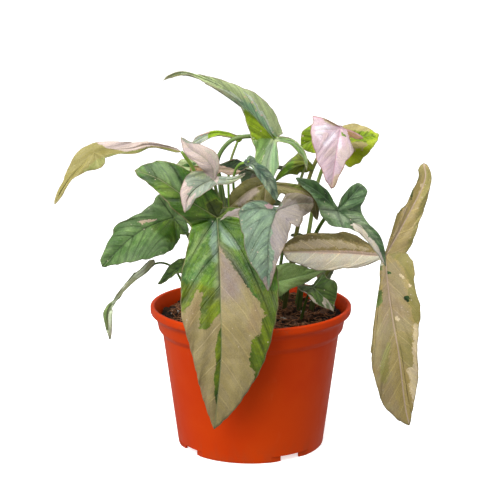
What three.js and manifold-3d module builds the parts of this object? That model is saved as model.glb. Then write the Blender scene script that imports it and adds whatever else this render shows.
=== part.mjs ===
// Arrowhead plant (Syngonium) in a plastic nursery pot.
// Millimetres, +Z up. The origin is where the pot's axis meets the surface it stands on,
// and -Y is the front.

import * as THREE from "three";
import { mergeVertices } from "three/addons/utils/BufferGeometryUtils.js";
import Module from "manifold-3d";

const wasm = await Module();
wasm.setup();

// ---------------------------------------------------------------- driving sizes

const POT = {
  height: 108,
  rimRadius: 76,
  rimDepth: 8.6,
  lipHeight: 6,
  bandTopRadius: 71.7,
  bandBottomRadius: 70,
  bandBottom: 90.5,
  shoulderRadius: 66.9,
  shoulderBottom: 86.5,
  footRadius: 55.6,
  footWidth: 3.2,
  footEdge: 0.8,
  skirtHeight: 6,
  floorUnder: 5.2,
  floorTop: 7,
  wall: 1.4,
  sides: 40,
};
// Outline of the rolled lip: how far each point is inside the rim's radius and under its top.
const LIP = [[1, 6], [0, 3.4], [0.3, 0.8], [1.2, 0], [2.6, 0.5]];
const NOTCH = { count: 4, first: 213, height: 4.6, degrees: 17, depth: 12 };
const DRAIN_HOLE = { radius: 4.5, ring: 40, sides: 12 };
const SOIL = { level: 99.5, gap: 0.35, facetGap: 0.25, rings: 4, sides: 32 };
// The waves on the soil's top: their height, their length along each axis, and their shift
// as a share of that length.
const LUMPS = { height: 0.96, alongX: 30, shiftX: 0.2, alongY: 37, shiftY: -0.1 };
const RIDGES = { height: 0.58, alongX: 57, alongY: 27 };
const HOLE = { length: 24, below: 1.5, play: 0.9, sides: 6 };
const PETIOLE = { footDepth: 9.5, sides: 5, steps: 4 };
const BLADE = {
  thickness: 0.9, hub: 2.2, fold: 12, lobeFold: 8, waveLength: 32, wave: 1.1, fewestWaves: 3,
  seam: 1,
};
const LOBE_ANGLE = { narrowest: 0.7, widest: 2.88 };

// Colour, roughness and metalness of each kind of piece.
const LOOK = {
  pot: [0xc8431c, 0.45],
  soil: [0x2b1d15, 0.95],
  green: [0x5f8a50, 0.5],
  dark: [0x3f6b4c, 0.5],
  pale: [0x9ab07c, 0.5],
  tan: [0xa69872, 0.5],
  pink: [0xd6b9ae, 0.5],
};

// Each leaf: the joint where its blade meets the petiole, the route of the petiole up from
// its foot in the soil, and three ribs (main, right and left lobe, seen from above with the
// main tip away from the eye). The ribs part at the joint, or at the centre where a leaf has
// one. A rib has the points it runs through, the way the upper face looks along it, and the
// blade's half widths on its right and left in the middle of each of as many equal
// stretches as there are widths.
const STUB = [3, 3, 3, 2];
const LEAVES = [
  {
    name: "leaf_front", look: "green", edge: 44, rings: 4, radius: 2.3, fold: 5,
    joint: [-24, -50, 184],
    petiole: [[-16, -30], [-18, -32, 140], [-22, -38, 165]],
    main: {
      through: [[-22, -70, 156], [-21, -84, 124], [-21, -88, 89], [-26, -88, 39]],
      up: [[-0.1, -0.8, 0.6], [0, -1, 0.1], [0, -1, 0], [0.1, -1, -0.1]],
      right: [20, 24, 28, 28, 24, 19, 13, 5], left: [21, 31, 39, 39, 35, 29, 20, 9],
    },
    right: {
      through: [[-41, -52, 195], [-64, -50, 211], [-83, -44, 217]],
      up: [[-0.1, -0.8, 0.6], [-0.2, -0.8, 0.5]],
      right: [15, 18, 19, 17, 14, 7], left: [8, 13, 13, 10, 7, 4],
    },
    left: {
      through: [[-13, -50, 185], [7, -47, 187]],
      up: [[0.1, -0.8, 0.6]],
      right: [4, 5, 5, 3], left: [8, 7, 5, 3],
    },
  },
  {
    name: "leaf_middle", look: "pale", edge: 30, rings: 3, radius: 2,
    joint: [18, -66, 192],
    petiole: [[10, -38], [12, -44, 150], [16, -55, 177]],
    main: {
      through: [[13, -76, 177], [12, -84, 160], [12, -90, 140]],
      up: [[0, -0.9, 0.4], [0, -1, 0.1]],
      right: [20, 24, 23, 20, 17, 12, 7, 2.5], left: [12, 13, 13, 12, 9, 6, 4, 1.5],
    },
    right: {
      through: [[5, -68, 194], [-8, -68, 191]],
      up: [[-0.1, -0.9, 0.4]],
      right: [3.5, 6, 6, 4.5], left: [6, 10, 11, 8],
    },
    left: {
      through: [[32, -66, 197], [45, -60, 196]],
      up: [[0.1, -0.9, 0.4]],
      right: [7, 17, 10, 5], left: [3, 9, 7, 4.5],
    },
  },
  {
    name: "leaf_teal", look: "dark", edge: 18, rings: 2, radius: 1.3,
    joint: [-1, -58, 226],
    petiole: [[-4, -29], [-8, -31, 150], [-12, -34, 196], [-12, -46, 214], [-8, -54, 223]],
    main: {
      through: [[9, -63, 217], [14, -65, 209], [18, -66, 199]],
      up: [[0.3, -0.8, 0.5]],
      right: [2.5, 4.5, 5, 3], left: [3, 5, 5, 3],
    },
    right: { through: [[-3, -57, 223]], up: [[0, -0.8, 0.5]], right: STUB, left: STUB },
    left: { through: [[2, -57, 229]], up: [[0, -0.8, 0.5]], right: STUB, left: STUB },
  },
  {
    name: "leaf_behind_middle", look: "tan", edge: 22, rings: 3, radius: 1.7,
    joint: [11, -46, 208],
    petiole: [[2, -22], [6, -28, 160], [10, -38, 196]],
    main: {
      through: [[10, -52, 199], [9, -56, 190]],
      up: [[0, -0.9, 0.4]],
      right: [10, 10, 8, 4], left: [10, 10, 8, 4],
    },
    right: {
      through: [[-2, -45, 202], [-15, -41, 190]],
      up: [[-0.2, -0.8, 0.4]],
      right: [7, 8, 8, 5], left: [6, 8, 7, 4],
    },
    left: {
      through: [[26, -46, 205], [43, -42, 198], [48, -38, 180]],
      up: [[0.2, -0.8, 0.4]],
      right: [5, 7, 7, 4], left: [2.5, 4, 4.5, 3],
    },
  },
  {
    name: "leaf_top", look: "pale", edge: 44, rings: 6, radius: 2.2,
    joint: [17, -24, 237],
    petiole: [
      [-18, -6], [-21, -16, 150], [-22, -22, 200], [-24, -24, 222], [-14, -25, 236], [1, -24, 239],
    ],
    main: {
      through: [
        [3, -30, 254], [-8, -36, 266], [-18, -41, 274.5], [-31, -45, 281.5], [-48, -49, 287],
        [-62, -50, 282],
      ],
      up: [[-0.2, -0.9, 0.4], [-0.3, -0.8, 0.5], [0, -0.7, 0.7]],
      right: [10, 13, 12.5, 8.3, 5, 3, 1.2, 0.8], left: [15, 10, 4.2, 2, 2.4, 3.2, 1.4, 0.6],
    },
    right: {
      through: [[31, -26, 234], [39, -28, 224], [40, -28, 214]],
      up: [[0.3, -0.7, 0.6]],
      right: [3, 3, 2.5, 1], left: [2.5, 3, 2.5, 1],
    },
    left: {
      through: [[13, -32, 224], [10, -38, 209]],
      up: [[0.1, -1, 0.1]],
      right: [9, 10, 10, 7], left: [4, 7, 9, 7],
    },
  },
  {
    name: "leaf_left_long", look: "tan", edge: 36, rings: 4, radius: 1.9,
    joint: [-51, -6, 225], centre: [-113, -32, 228],
    petiole: [[-26, 2], [-31, 1, 160], [-42, -3, 210]],
    main: {
      through: [[-118, -36, 223], [-126, -43, 215], [-132, -52, 207], [-138, -64, 196]],
      up: [[-0.2, -0.8, 0.5], [-0.4, -0.8, 0.3]],
      right: [9, 6.5, 3.5, 2], left: [8, 5.5, 3, 1],
    },
    right: {
      through: [[-99, -26, 229], [-87, -20, 229], [-75, -14, 231], [-62, -9, 228], [-51, -6, 225]],
      up: [[-0.2, -0.8, 0.5], [0, -0.9, 0.5]],
      right: [10, 6.2, 5.1, 5, 3.3, 2.2, 1.5, 1.5], left: [8.4, 7.3, 5.8, 5.2, 3.6, 2.2, 1.8, 1.6],
    },
    left: { through: [[-107, -38, 218]], up: [[-0.2, -0.8, 0.5]], right: [8, 8, 7, 5], left: [12, 12, 9, 6] },
  },
  {
    name: "leaf_pink_tip", look: "pale", edge: 30, rings: 3, radius: 1.7,
    joint: [-26, -56, 213],
    petiole: [[-10, -17], [-14, -23, 140], [-20, -32, 178], [-25, -42, 203]],
    main: {
      through: [[-36, -63, 209], [-43, -66, 202], [-46, -67, 191]],
      up: [[-0.2, -0.9, 0.3]],
      right: [8, 15, 8, 3], left: [5, 7, 5, 2.5],
    },
    right: {
      through: [[-27, -60, 222], [-34, -62, 230], [-42, -62, 235], [-49, -60, 243]],
      up: [[-0.1, -0.9, 0.4]],
      right: [3, 9, 7, 3], left: [3, 7, 6, 3],
    },
    left: {
      through: [[-16, -60, 213], [-9, -63, 215], [-3, -65, 219]],
      up: [[0, -0.9, 0.4]],
      right: [3.5, 3, 2, 1], left: [3.5, 3, 2, 1],
    },
  },
  {
    name: "leaf_cupped", look: "dark", edge: 16, rings: 2, radius: 1.2,
    joint: [-23, -38, 217],
    petiole: [[-8, -7], [-14, -19, 150], [-20, -30, 200]],
    main: {
      through: [[-11, -38, 217], [-1, -37, 219]],
      up: [[0, -0.7, 0.7]],
      right: [3, 5, 5, 2], left: [5, 7, 8, 4],
    },
    right: { through: [[-26, -38, 214]], up: [[0, -0.7, 0.7]], right: STUB, left: STUB },
    left: { through: [[-26, -37, 220]], up: [[0, -0.7, 0.7]], right: STUB, left: STUB },
  },
  {
    name: "leaf_left_upper", look: "green", edge: 18, rings: 3, radius: 1.3,
    joint: [-9, -8, 235],
    petiole: [[-12, 7], [-14, 3, 150], [-16, -5, 212]],
    main: {
      through: [[-17, -9, 238], [-26, -10, 239], [-37, -11, 235], [-46, -12, 229]],
      up: [[-0.1, -0.7, 0.7]],
      right: [1.5, 2.5, 3, 1.5], left: [1.5, 4, 4, 2],
    },
    right: { through: [[-6, -6, 236]], up: [[0, -0.7, 0.7]], right: [2, 2, 2, 1], left: [2, 2, 2, 1] },
    left: { through: [[-8, -7, 232]], up: [[0, -0.7, 0.7]], right: [2, 2, 2, 1], left: [2, 2, 2, 1] },
  },
  {
    name: "leaf_left_yellow", look: "pale", edge: 16, rings: 2, radius: 1.3,
    joint: [-33, 6, 211],
    petiole: [[-19, 11], [-24, 11, 150], [-30, 9, 198]],
    main: {
      through: [[-45, 6, 211], [-57, 6, 212]],
      up: [[0, -0.8, 0.5]],
      right: [3, 5, 7, 4], left: [4, 4, 6, 4],
    },
    right: { through: [[-32, 7, 207]], up: [[0, -0.8, 0.5]], right: STUB, left: STUB },
    left: { through: [[-29, 7, 213]], up: [[0, -0.8, 0.5]], right: STUB, left: STUB },
  },
  {
    name: "leaf_left", look: "dark", edge: 30, rings: 3, radius: 2,
    joint: [-56, -34, 181],
    petiole: [[-31, -15], [-38, -18, 140], [-48, -25, 170]],
    main: {
      through: [[-67, -38, 178], [-77, -42, 174], [-89, -46, 166], [-108, -46, 147]],
      up: [[-0.2, -0.8, 0.5]],
      right: [18, 14, 12, 12, 14, 11, 8, 4], left: [19, 24, 26, 26, 22, 17, 10, 3],
    },
    right: {
      through: [[-66, -32, 195]],
      up: [[-0.2, -0.8, 0.5]],
      right: [5, 6, 5, 3], left: [5, 6, 5, 3],
    },
    left: {
      through: [[-46, -38, 169]],
      up: [[0, -0.9, 0.4]],
      right: [5, 6, 5, 3], left: [5, 6, 5, 3],
    },
  },
  {
    name: "leaf_hanging", look: "pale", edge: 28, rings: 4, radius: 1.1,
    joint: [-74, -28, 144], centre: [-105, -34, 111],
    petiole: [[-46, -14], [-50, -17, 125], [-58, -21, 141], [-66, -24, 145]],
    main: {
      through: [[-105, -33, 100], [-104, -32, 88]],
      up: [[0.1, -0.9, 0.3]],
      right: [3.5, 3, 2.2, 0.9], left: [3.5, 3, 2.2, 0.9],
    },
    right: {
      through: [[-99, -34, 120], [-93, -34, 128], [-86, -32, 135], [-78, -30, 141], [-71, -27, 148]],
      up: [[0.1, -0.9, 0.3]],
      right: [2.6, 1.2, 1.7, 1.2, 1.9, 2.4, 2.5, 2.8], left: [2.6, 1.2, 1.7, 1.2, 1.9, 2.4, 2.5, 2.8],
    },
    left: { through: [[-101.5, -34, 112]], up: [[0.1, -0.9, 0.3]], right: STUB, left: STUB },
  },
  {
    name: "leaf_small_dark", look: "dark", edge: 14, rings: 2, radius: 1.3,
    joint: [-47, -44, 149],
    petiole: [[-39, -31], [-43, -37, 135]],
    main: {
      through: [[-57, -46, 142], [-67, -46, 134]],
      up: [[0, -0.8, 0.6]],
      right: [6, 6, 4, 1.5], left: [6, 3, 2, 1],
    },
    right: { through: [[-48, -43, 153]], up: [[0, -0.8, 0.6]], right: STUB, left: STUB },
    left: { through: [[-45, -43, 145]], up: [[0, -0.8, 0.6]], right: STUB, left: STUB },
  },
  {
    name: "leaf_right", look: "tan", edge: 46, rings: 3, radius: 2.2,
    joint: [101, -2, 145],
    petiole: [[44, 8], [50, 8, 115], [64, 8, 136], [84, 4, 145]],
    main: {
      through: [[103, -10, 122], [107, -16, 95], [111, -18, 74], [117, -14, 32], [121, -12, 15]],
      up: [[0, -1, 0.3], [0.1, -1, 0]],
      right: [5, 6, 12, 18, 22, 21, 18, 8], left: [21, 20, 22, 18, 14, 13, 9, 4],
    },
    right: {
      through: [[74, -14, 150], [51, -22, 153], [23, -28, 154]],
      up: [[0, -0.95, 0.3]],
      right: [3, 9, 14, 16, 14, 14, 13, 9], left: [3, 8, 11, 12, 14, 14, 11, 7],
    },
    left: {
      through: [[116, 2, 172], [130, 7, 200], [130, 10, 214]],
      up: [[0.2, -0.9, 0.3]],
      right: [12, 13, 12, 10, 9, 7, 5, 3.5], left: [2, 4, 5, 8, 5, 6, 6, 6],
    },
  },
  {
    name: "leaf_right_front", look: "dark", edge: 34, rings: 3, radius: 2,
    joint: [62, -44, 188],
    petiole: [[35, 5], [42, 3, 140], [48, -6, 162], [54, -20, 177], [58, -34, 184]],
    main: {
      through: [[74, -48, 180], [84, -50, 173], [92, -52, 163], [97, -52, 149]],
      up: [[0.1, -0.9, 0.4]],
      right: [12, 9, 6, 5, 5, 5, 4, 2], left: [10, 10, 8, 5, 5, 4, 2.5, 1],
    },
    right: {
      through: [[49, -46, 201], [32, -46, 212]],
      up: [[0, -0.9, 0.4]],
      right: [3, 6, 6, 3], left: [11, 8, 4.5, 2],
    },
    left: {
      through: [[70, -44, 196], [80, -40, 207]],
      up: [[0.1, -0.9, 0.4]],
      right: [6, 9, 9, 7], left: [2.5, 6, 6, 4],
    },
  },
  {
    name: "leaf_pink", look: "pink", edge: 28, rings: 3, radius: 1.9,
    joint: [65, -20, 244],
    petiole: [[24, 8], [34, 2, 160], [44, -7, 208], [52, -9, 226], [60, -13, 239]],
    main: {
      through: [[62, -28, 229], [58, -34, 202]],
      up: [[0, -1, 0.2]],
      right: [20, 21, 20, 16, 14, 10, 7, 3], left: [6, 10, 15, 11, 8, 6, 4, 2.5],
    },
    right: {
      through: [[54, -22, 250], [45, -20, 253]],
      up: [[-0.1, -0.95, 0.3]],
      right: [1, 1, 1, 0.6], left: [6, 9, 9, 6],
    },
    left: {
      through: [[74, -18, 241], [82, -16, 236]],
      up: [[0.2, -0.9, 0.4]],
      right: [4, 4.5, 4.5, 2.5], left: [1, 1, 1, 1],
    },
  },
  {
    name: "leaf_right_upper", look: "green", edge: 24, rings: 3, radius: 1.9,
    joint: [66, 2, 234],
    petiole: [[34, 19], [44, 13, 160], [52, 9, 205], [62, 8, 226]],
    main: {
      through: [[81, 0, 235], [95, -2, 237]],
      up: [[0.1, -0.8, 0.5]],
      right: [22, 22, 18, 9], left: [9, 10, 8, 3],
    },
    right: {
      through: [[69, 2, 222], [73, 2, 214]],
      up: [[0, -0.9, 0.3]],
      right: [4, 4, 4, 2.5], left: [4, 4, 4, 2.5],
    },
    left: {
      through: [[50, 0, 234], [37, 0, 228]],
      up: [[-0.1, -0.9, 0.3]],
      right: [8, 13, 11, 7], left: [9, 12, 12, 8],
    },
  },
  {
    name: "leaf_under_top", look: "green", edge: 20, rings: 2, radius: 1.5,
    joint: [41, -14, 218],
    petiole: [[16, 1], [26, -2, 160], [37, -8, 205]],
    main: {
      through: [[31, -16, 215], [18, -18, 205]],
      up: [[0.2, 0.7, 0.6]],
      right: [9, 9, 4, 1.5], left: [9, 8, 5, 3],
    },
    right: { through: [[45, -13, 211]], up: [[0.2, 0.7, 0.6]], right: STUB, left: STUB },
    left: { through: [[37, -12, 224]], up: [[0.2, 0.7, 0.6]], right: STUB, left: STUB },
  },
  {
    name: "leaf_low_right", look: "dark", edge: 22, rings: 2, radius: 1.3,
    joint: [46, -30, 128],
    petiole: [[35, -21], [42, -26, 120]],
    main: {
      through: [[54, -32, 120], [61, -32, 110]],
      up: [[0.2, -0.8, 0.6]],
      right: [8, 9, 7, 2], left: [10, 13, 10, 3],
    },
    right: {
      through: [[40, -30, 128], [34, -30, 128]],
      up: [[0.1, -0.8, 0.6]],
      right: [1.5, 1.5, 1.5, 1], left: [5, 5, 4, 2.5],
    },
    left: {
      through: [[51, -27, 133], [54, -25, 138]],
      up: [[0.1, -0.8, 0.6]],
      right: [4.5, 5, 4.5, 2], left: [1.5, 2, 2, 1.5],
    },
  },
  {
    name: "leaf_low_green", look: "green", edge: 20, rings: 2, radius: 1.5,
    joint: [14, -10, 126],
    petiole: [[7, -6], [10, -8, 115]],
    main: {
      through: [[33, -12, 131], [58, -10, 137]],
      up: [[0, -0.8, 0.5]],
      right: [12, 8, 6, 2.5], left: [12, 12, 6, 1],
    },
    right: { through: [[13, -11, 117]], up: [[0, -0.8, 0.5]], right: [3, 6, 6, 4], left: [3, 6, 6, 4] },
    left: { through: [[10, -10, 136]], up: [[0, -0.8, 0.5]], right: [3, 6, 6, 4], left: [3, 6, 6, 4] },
  },
  {
    name: "leaf_back_centre", look: "green", edge: 26, rings: 3, radius: 2,
    joint: [-10, 46, 172],
    petiole: [[-5, 24], [-6, 28, 135], [-9, 37, 162]],
    main: {
      through: [[-8, 66, 160], [-5, 84, 132], [-4, 88, 104], [-2, 93, 76]],
      up: [[0, 0.6, 0.8], [0, 1, 0.2], [0, 1, 0]],
      right: [19, 24, 19, 8], left: [19, 24, 19, 8],
    },
    right: {
      through: [[10, 46, 178], [24, 44, 176]],
      up: [[0, 0.6, 0.8]],
      right: [8, 8, 7, 5], left: [8, 7, 6, 4],
    },
    left: {
      through: [[-26, 46, 178], [-36, 44, 176]],
      up: [[0, 0.6, 0.8]],
      right: [8, 7, 6, 4], left: [8, 8, 7, 5],
    },
  },
  {
    name: "leaf_back_left", look: "pale", edge: 24, rings: 3, radius: 1.8,
    joint: [-54, 30, 170],
    petiole: [[-26, 20], [-32, 23, 130], [-45, 27, 162]],
    main: {
      through: [[-60, 46, 166], [-66, 62, 154], [-68, 76, 136]],
      up: [[-0.3, 0.6, 0.8], [-0.5, 0.9, 0.2]],
      right: [12, 16, 12, 5], left: [12, 16, 12, 5],
    },
    right: {
      through: [[-44, 38, 174], [-38, 46, 172]],
      up: [[-0.2, 0.6, 0.8]],
      right: [5, 6, 5, 3], left: [5, 6, 5, 3],
    },
    left: {
      through: [[-66, 22, 172], [-76, 20, 166]],
      up: [[-0.4, 0.4, 0.8]],
      right: [5, 6, 5, 3], left: [5, 6, 5, 3],
    },
  },
  {
    name: "leaf_back_right", look: "green", edge: 24, rings: 3, radius: 1.8,
    joint: [48, 40, 146],
    petiole: [[22, 26], [27, 30, 120], [40, 36, 140]],
    main: {
      through: [[52, 56, 140], [57, 74, 122], [60, 82, 98]],
      up: [[0.3, 0.6, 0.8], [0.5, 0.9, 0.2]],
      right: [12, 16, 12, 5], left: [12, 16, 12, 5],
    },
    right: {
      through: [[60, 34, 150], [68, 33, 148]],
      up: [[0.4, 0.4, 0.8]],
      right: [5, 6, 5, 3], left: [5, 6, 5, 3],
    },
    left: {
      through: [[38, 48, 150], [32, 54, 149]],
      up: [[0.2, 0.6, 0.8]],
      right: [5, 6, 5, 3], left: [5, 6, 5, 3],
    },
  },
  {
    name: "leaf_back_upper", look: "pale", edge: 24, rings: 3, radius: 1.8,
    joint: [6, 18, 204],
    petiole: [[4, 12], [5, 12, 150], [6, 13, 192]],
    main: {
      through: [[4, 34, 204], [0, 50, 198], [-4, 62, 184]],
      up: [[0, 0.3, 1], [0, 0.6, 0.8]],
      right: [13, 15, 11, 4], left: [13, 15, 11, 4],
    },
    right: {
      through: [[18, 16, 209], [26, 20, 208]],
      up: [[0, 0.3, 1]],
      right: [5, 6, 5, 3], left: [4, 5, 4, 3],
    },
    left: {
      through: [[-6, 14, 209], [-14, 18, 208]],
      up: [[0, 0.3, 1]],
      right: [4, 5, 4, 3], left: [5, 6, 5, 3],
    },
  },
];

// ---------------------------------------------------------------- solids

const WELD = 1e-4;

function toSolid(geometry) {
  const plain = geometry.clone();
  plain.deleteAttribute("normal");
  plain.deleteAttribute("uv");
  const merged = mergeVertices(plain, WELD);
  return new wasm.Manifold(new wasm.Mesh({
    numProp: 3,
    vertProperties: new Float32Array(merged.attributes.position.array),
    triVerts: new Uint32Array(merged.index.array),
  }));
}

function toGeometry(solid) {
  const mesh = solid.getMesh();
  const geometry = new THREE.BufferGeometry();
  geometry.setAttribute("position", new THREE.BufferAttribute(mesh.vertProperties, 3));
  geometry.setIndex(new THREE.BufferAttribute(mesh.triVerts, 1));
  geometry.computeVertexNormals();
  return geometry;
}

function named(name, geometry, look) {
  const [color, roughness] = LOOK[look];
  const mesh = new THREE.Mesh(
    geometry,
    new THREE.MeshStandardMaterial({ color, roughness, metalness: 0 }),
  );
  mesh.name = name;
  return mesh;
}

function uprightCylinder(radius, height, sides) {
  return new THREE.CylinderGeometry(radius, radius, height, sides).rotateX(Math.PI / 2);
}

// ---------------------------------------------------------------- pot

// Outside radius of the pot's tapered body at a height.
function bodyRadius(z) {
  const rise = z / POT.shoulderBottom;
  return POT.footRadius + (POT.shoulderRadius - POT.footRadius) * rise;
}

function insideRadius(z) {
  if (z > POT.bandBottom) {
    return POT.bandBottomRadius - POT.wall;
  }
  return bodyRadius(z) - POT.wall;
}

function makePot() {
  const outline = [
    [0, POT.floorUnder],
    [POT.footRadius - POT.footWidth, POT.floorUnder],
    [POT.footRadius - POT.footWidth, 0],
    [POT.footRadius - POT.footEdge, 0],
    [POT.footRadius, POT.footEdge],
    [bodyRadius(POT.skirtHeight), POT.skirtHeight],
    [POT.shoulderRadius, POT.shoulderBottom],
    [POT.bandBottomRadius, POT.bandBottom],
    [POT.bandTopRadius, POT.height - POT.rimDepth],
    ...LIP.map(([inward, under]) => [POT.rimRadius - inward, POT.height - under]),
    [POT.bandTopRadius - POT.wall, POT.height - POT.lipHeight],
    [POT.bandBottomRadius - POT.wall, POT.bandBottom],
    [POT.shoulderRadius - POT.wall, POT.shoulderBottom],
    [bodyRadius(POT.floorTop) - POT.wall, POT.floorTop],
    [0, POT.floorTop],
  ];
  const profile = outline.map(([r, z]) => new THREE.Vector2(r, z));
  let pot = toSolid(new THREE.LatheGeometry(profile, POT.sides).rotateX(Math.PI / 2));
  for (let k = 0; k < NOTCH.count; k += 1) {
    const angle = THREE.MathUtils.degToRad(NOTCH.first + (k * 360) / NOTCH.count);
    const width = POT.footRadius * THREE.MathUtils.degToRad(NOTCH.degrees);
    const notch = new THREE.BoxGeometry(NOTCH.depth, width, 2 * NOTCH.height);
    notch.translate(POT.footRadius, 0, 0).rotateZ(angle);
    const drain = uprightCylinder(DRAIN_HOLE.radius, 4 * POT.floorTop, DRAIN_HOLE.sides);
    drain.translate(DRAIN_HOLE.ring, 0, 0).rotateZ(angle);
    pot = pot.subtract(toSolid(notch)).subtract(toSolid(drain));
  }
  return named("pot", toGeometry(pot), "pot");
}

// ---------------------------------------------------------------- soil

// Height of the soil's top: lumps about 30 mm across, and low slanted ridges.
function soilHeight(x, y) {
  const lumps = Math.sin(2 * Math.PI * (x / LUMPS.alongX + LUMPS.shiftX))
    * Math.cos(2 * Math.PI * (y / LUMPS.alongY + LUMPS.shiftY));
  const ridges = Math.sin(2 * Math.PI * (x / RIDGES.alongX - y / RIDGES.alongY));
  return SOIL.level + LUMPS.height * lumps + RIDGES.height * ridges;
}

function makeSoil() {
  const levels = [POT.floorTop + SOIL.gap, POT.shoulderBottom, POT.bandBottom, SOIL.level];
  const corners = [];
  const triangles = [];
  const ring = (radius, height) => {
    for (let k = 0; k < SOIL.sides; k += 1) {
      const angle = (2 * Math.PI * k) / SOIL.sides;
      const x = radius * Math.cos(angle);
      const y = radius * Math.sin(angle);
      corners.push(x, y, height(x, y));
    }
  };
  const fit = SOIL.gap / Math.cos(Math.PI / SOIL.sides) + SOIL.facetGap;
  corners.push(0, 0, levels[0]);
  for (const level of levels.slice(0, 3)) {
    ring(insideRadius(level) - fit, () => level);
  }
  const outer = insideRadius(levels[3]) - fit;
  for (let k = SOIL.rings; k > 0; k -= 1) {
    ring((outer * k) / SOIL.rings, soilHeight);
  }
  corners.push(0, 0, soilHeight(0, 0));
  const rings = levels.length - 1 + SOIL.rings;
  const last = corners.length / 3 - 1;
  for (let i = 0; i < SOIL.sides; i += 1) {
    const j = (i + 1) % SOIL.sides;
    triangles.push(0, 1 + j, 1 + i);
    for (let k = 0; k < rings - 1; k += 1) {
      const below = 1 + k * SOIL.sides;
      const above = below + SOIL.sides;
      triangles.push(below + i, below + j, above + j, below + i, above + j, above + i);
    }
    const top = 1 + (rings - 1) * SOIL.sides;
    triangles.push(top + i, top + j, last);
  }
  const geometry = new THREE.BufferGeometry();
  geometry.setAttribute("position", new THREE.Float32BufferAttribute(corners, 3));
  geometry.setIndex(triangles);
  let soil = toSolid(geometry);
  for (const leaf of LEAVES) {
    const path = petiolePath(leaf);
    const foot = path.getPointAt(0);
    const lean = path.getTangentAt(0);
    const hole = uprightCylinder(leaf.radius + HOLE.play, HOLE.length, HOLE.sides);
    hole.translate(0, 0, HOLE.length / 2 - HOLE.below);
    const turn = new THREE.Quaternion().setFromUnitVectors(new THREE.Vector3(0, 0, 1), lean);
    hole.applyQuaternion(turn).translate(foot.x, foot.y, foot.z);
    soil = soil.subtract(toSolid(hole));
  }
  return named("soil", toGeometry(soil), "soil");
}

// ---------------------------------------------------------------- leaves

// Numbers of samples that a lobe's and a stretch of edge's form is worked out from.
const REACH_STEPS = 80;
const EDGE_STEPS = 60;

// How sharply the lobes' outlines meet, and where between two ribs one gives way to the other.
const LOBE_BLEND = 7;
const BLEND_FROM = 0.15;
const BLEND_TO = 0.85;
// A lobe's half width at its start, as a share of its first one, and how steeply its tip ends.
const ROOT_WIDTH = 0.75;
const TIP_SLOPE = 1.6;
// Past this angle off its rib a lobe's edge is as good as straight across its start.
const SQUARE_ANGLE = 1.4;
const TINY = 1e-9;

function smoothStep(value, low, high) {
  const t = Math.min(1, Math.max(0, (value - low) / (high - low)));
  return t * t * (3 - 2 * t);
}

function wrapAngle(angle) {
  return angle - 2 * Math.PI * Math.round(angle / (2 * Math.PI));
}

// Half width of a lobe at the fraction t of its rib: a smooth curve through its widths.
function widthAt(t, widths) {
  const count = widths.length;
  const w = [widths[0] * ROOT_WIDTH, ...widths, 0];
  const station = (k) => Math.min(1, Math.max(0, (k - 0.5) / count));
  const rise = (k) => (w[k + 1] - w[k]) / (station(k + 1) - station(k));
  const slope = (k) => {
    if (k === 0) {
      return rise(0);
    }
    if (k === count + 1) {
      return rise(count) * TIP_SLOPE;
    }
    const before = rise(k - 1);
    const after = rise(k);
    return before * after <= 0 ? 0 : (2 * before * after) / (before + after);
  };
  const k = Math.min(count, Math.floor(t * count + 0.5));
  const span = station(k + 1) - station(k);
  const u = (t - station(k)) / span;
  return (2 * u ** 3 - 3 * u ** 2 + 1) * w[k] + (u ** 3 - 2 * u ** 2 + u) * span * slope(k)
    + (3 * u ** 2 - 2 * u ** 3) * w[k + 1] + (u ** 3 - u ** 2) * span * slope(k + 1);
}

// Distance from a rib's start to its lobe's edge, at an angle off the rib.
function reach(angle, length, widths) {
  const off = Math.abs(angle);
  if (off > Math.PI / 2) {
    return 0;
  }
  const bound = (t) => Math.atan2(widthAt(t, widths), t * length);
  let k = REACH_STEPS;
  while (k > 0 && bound(k / REACH_STEPS) <= off) {
    k -= 1;
  }
  let t = k / REACH_STEPS;
  if (k < REACH_STEPS) {
    const here = bound(t);
    const next = bound(t + 1 / REACH_STEPS);
    t += (here - off) / Math.max(here - next, TINY) / REACH_STEPS;
  }
  if (off > SQUARE_ANGLE) {
    return Math.hypot(t * length, widthAt(t, widths));
  }
  return (t * length) / Math.cos(off);
}

function makeRib(centre, lobe, fold) {
  const points = [centre, ...lobe.through].map((p) => new THREE.Vector3(...p));
  const curve = new THREE.CatmullRomCurve3(points, false, "catmullrom", 0.5);
  const ups = lobe.up.map((u) => new THREE.Vector3(...u).normalize());
  return { curve, ups, fold, length: curve.getLength(), right: lobe.right, left: lobe.left };
}

// Place on a rib, as far along it as asked: its point, sideways and upward directions.
function ribFrame(rib, along) {
  const u = Math.min(1, Math.max(0, along / rib.length));
  const tangent = rib.curve.getTangentAt(u);
  const point = rib.curve.getPointAt(u).addScaledVector(tangent, along - u * rib.length);
  const place = u * (rib.ups.length - 1);
  const k = Math.min(Math.floor(place), Math.max(rib.ups.length - 2, 0));
  const next = Math.min(k + 1, rib.ups.length - 1);
  const facing = rib.ups[k].clone().lerp(rib.ups[next], smoothStep(place - k, 0, 1));
  const side = tangent.clone().cross(facing).normalize();
  return { point, side, up: side.clone().cross(tangent) };
}

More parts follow.
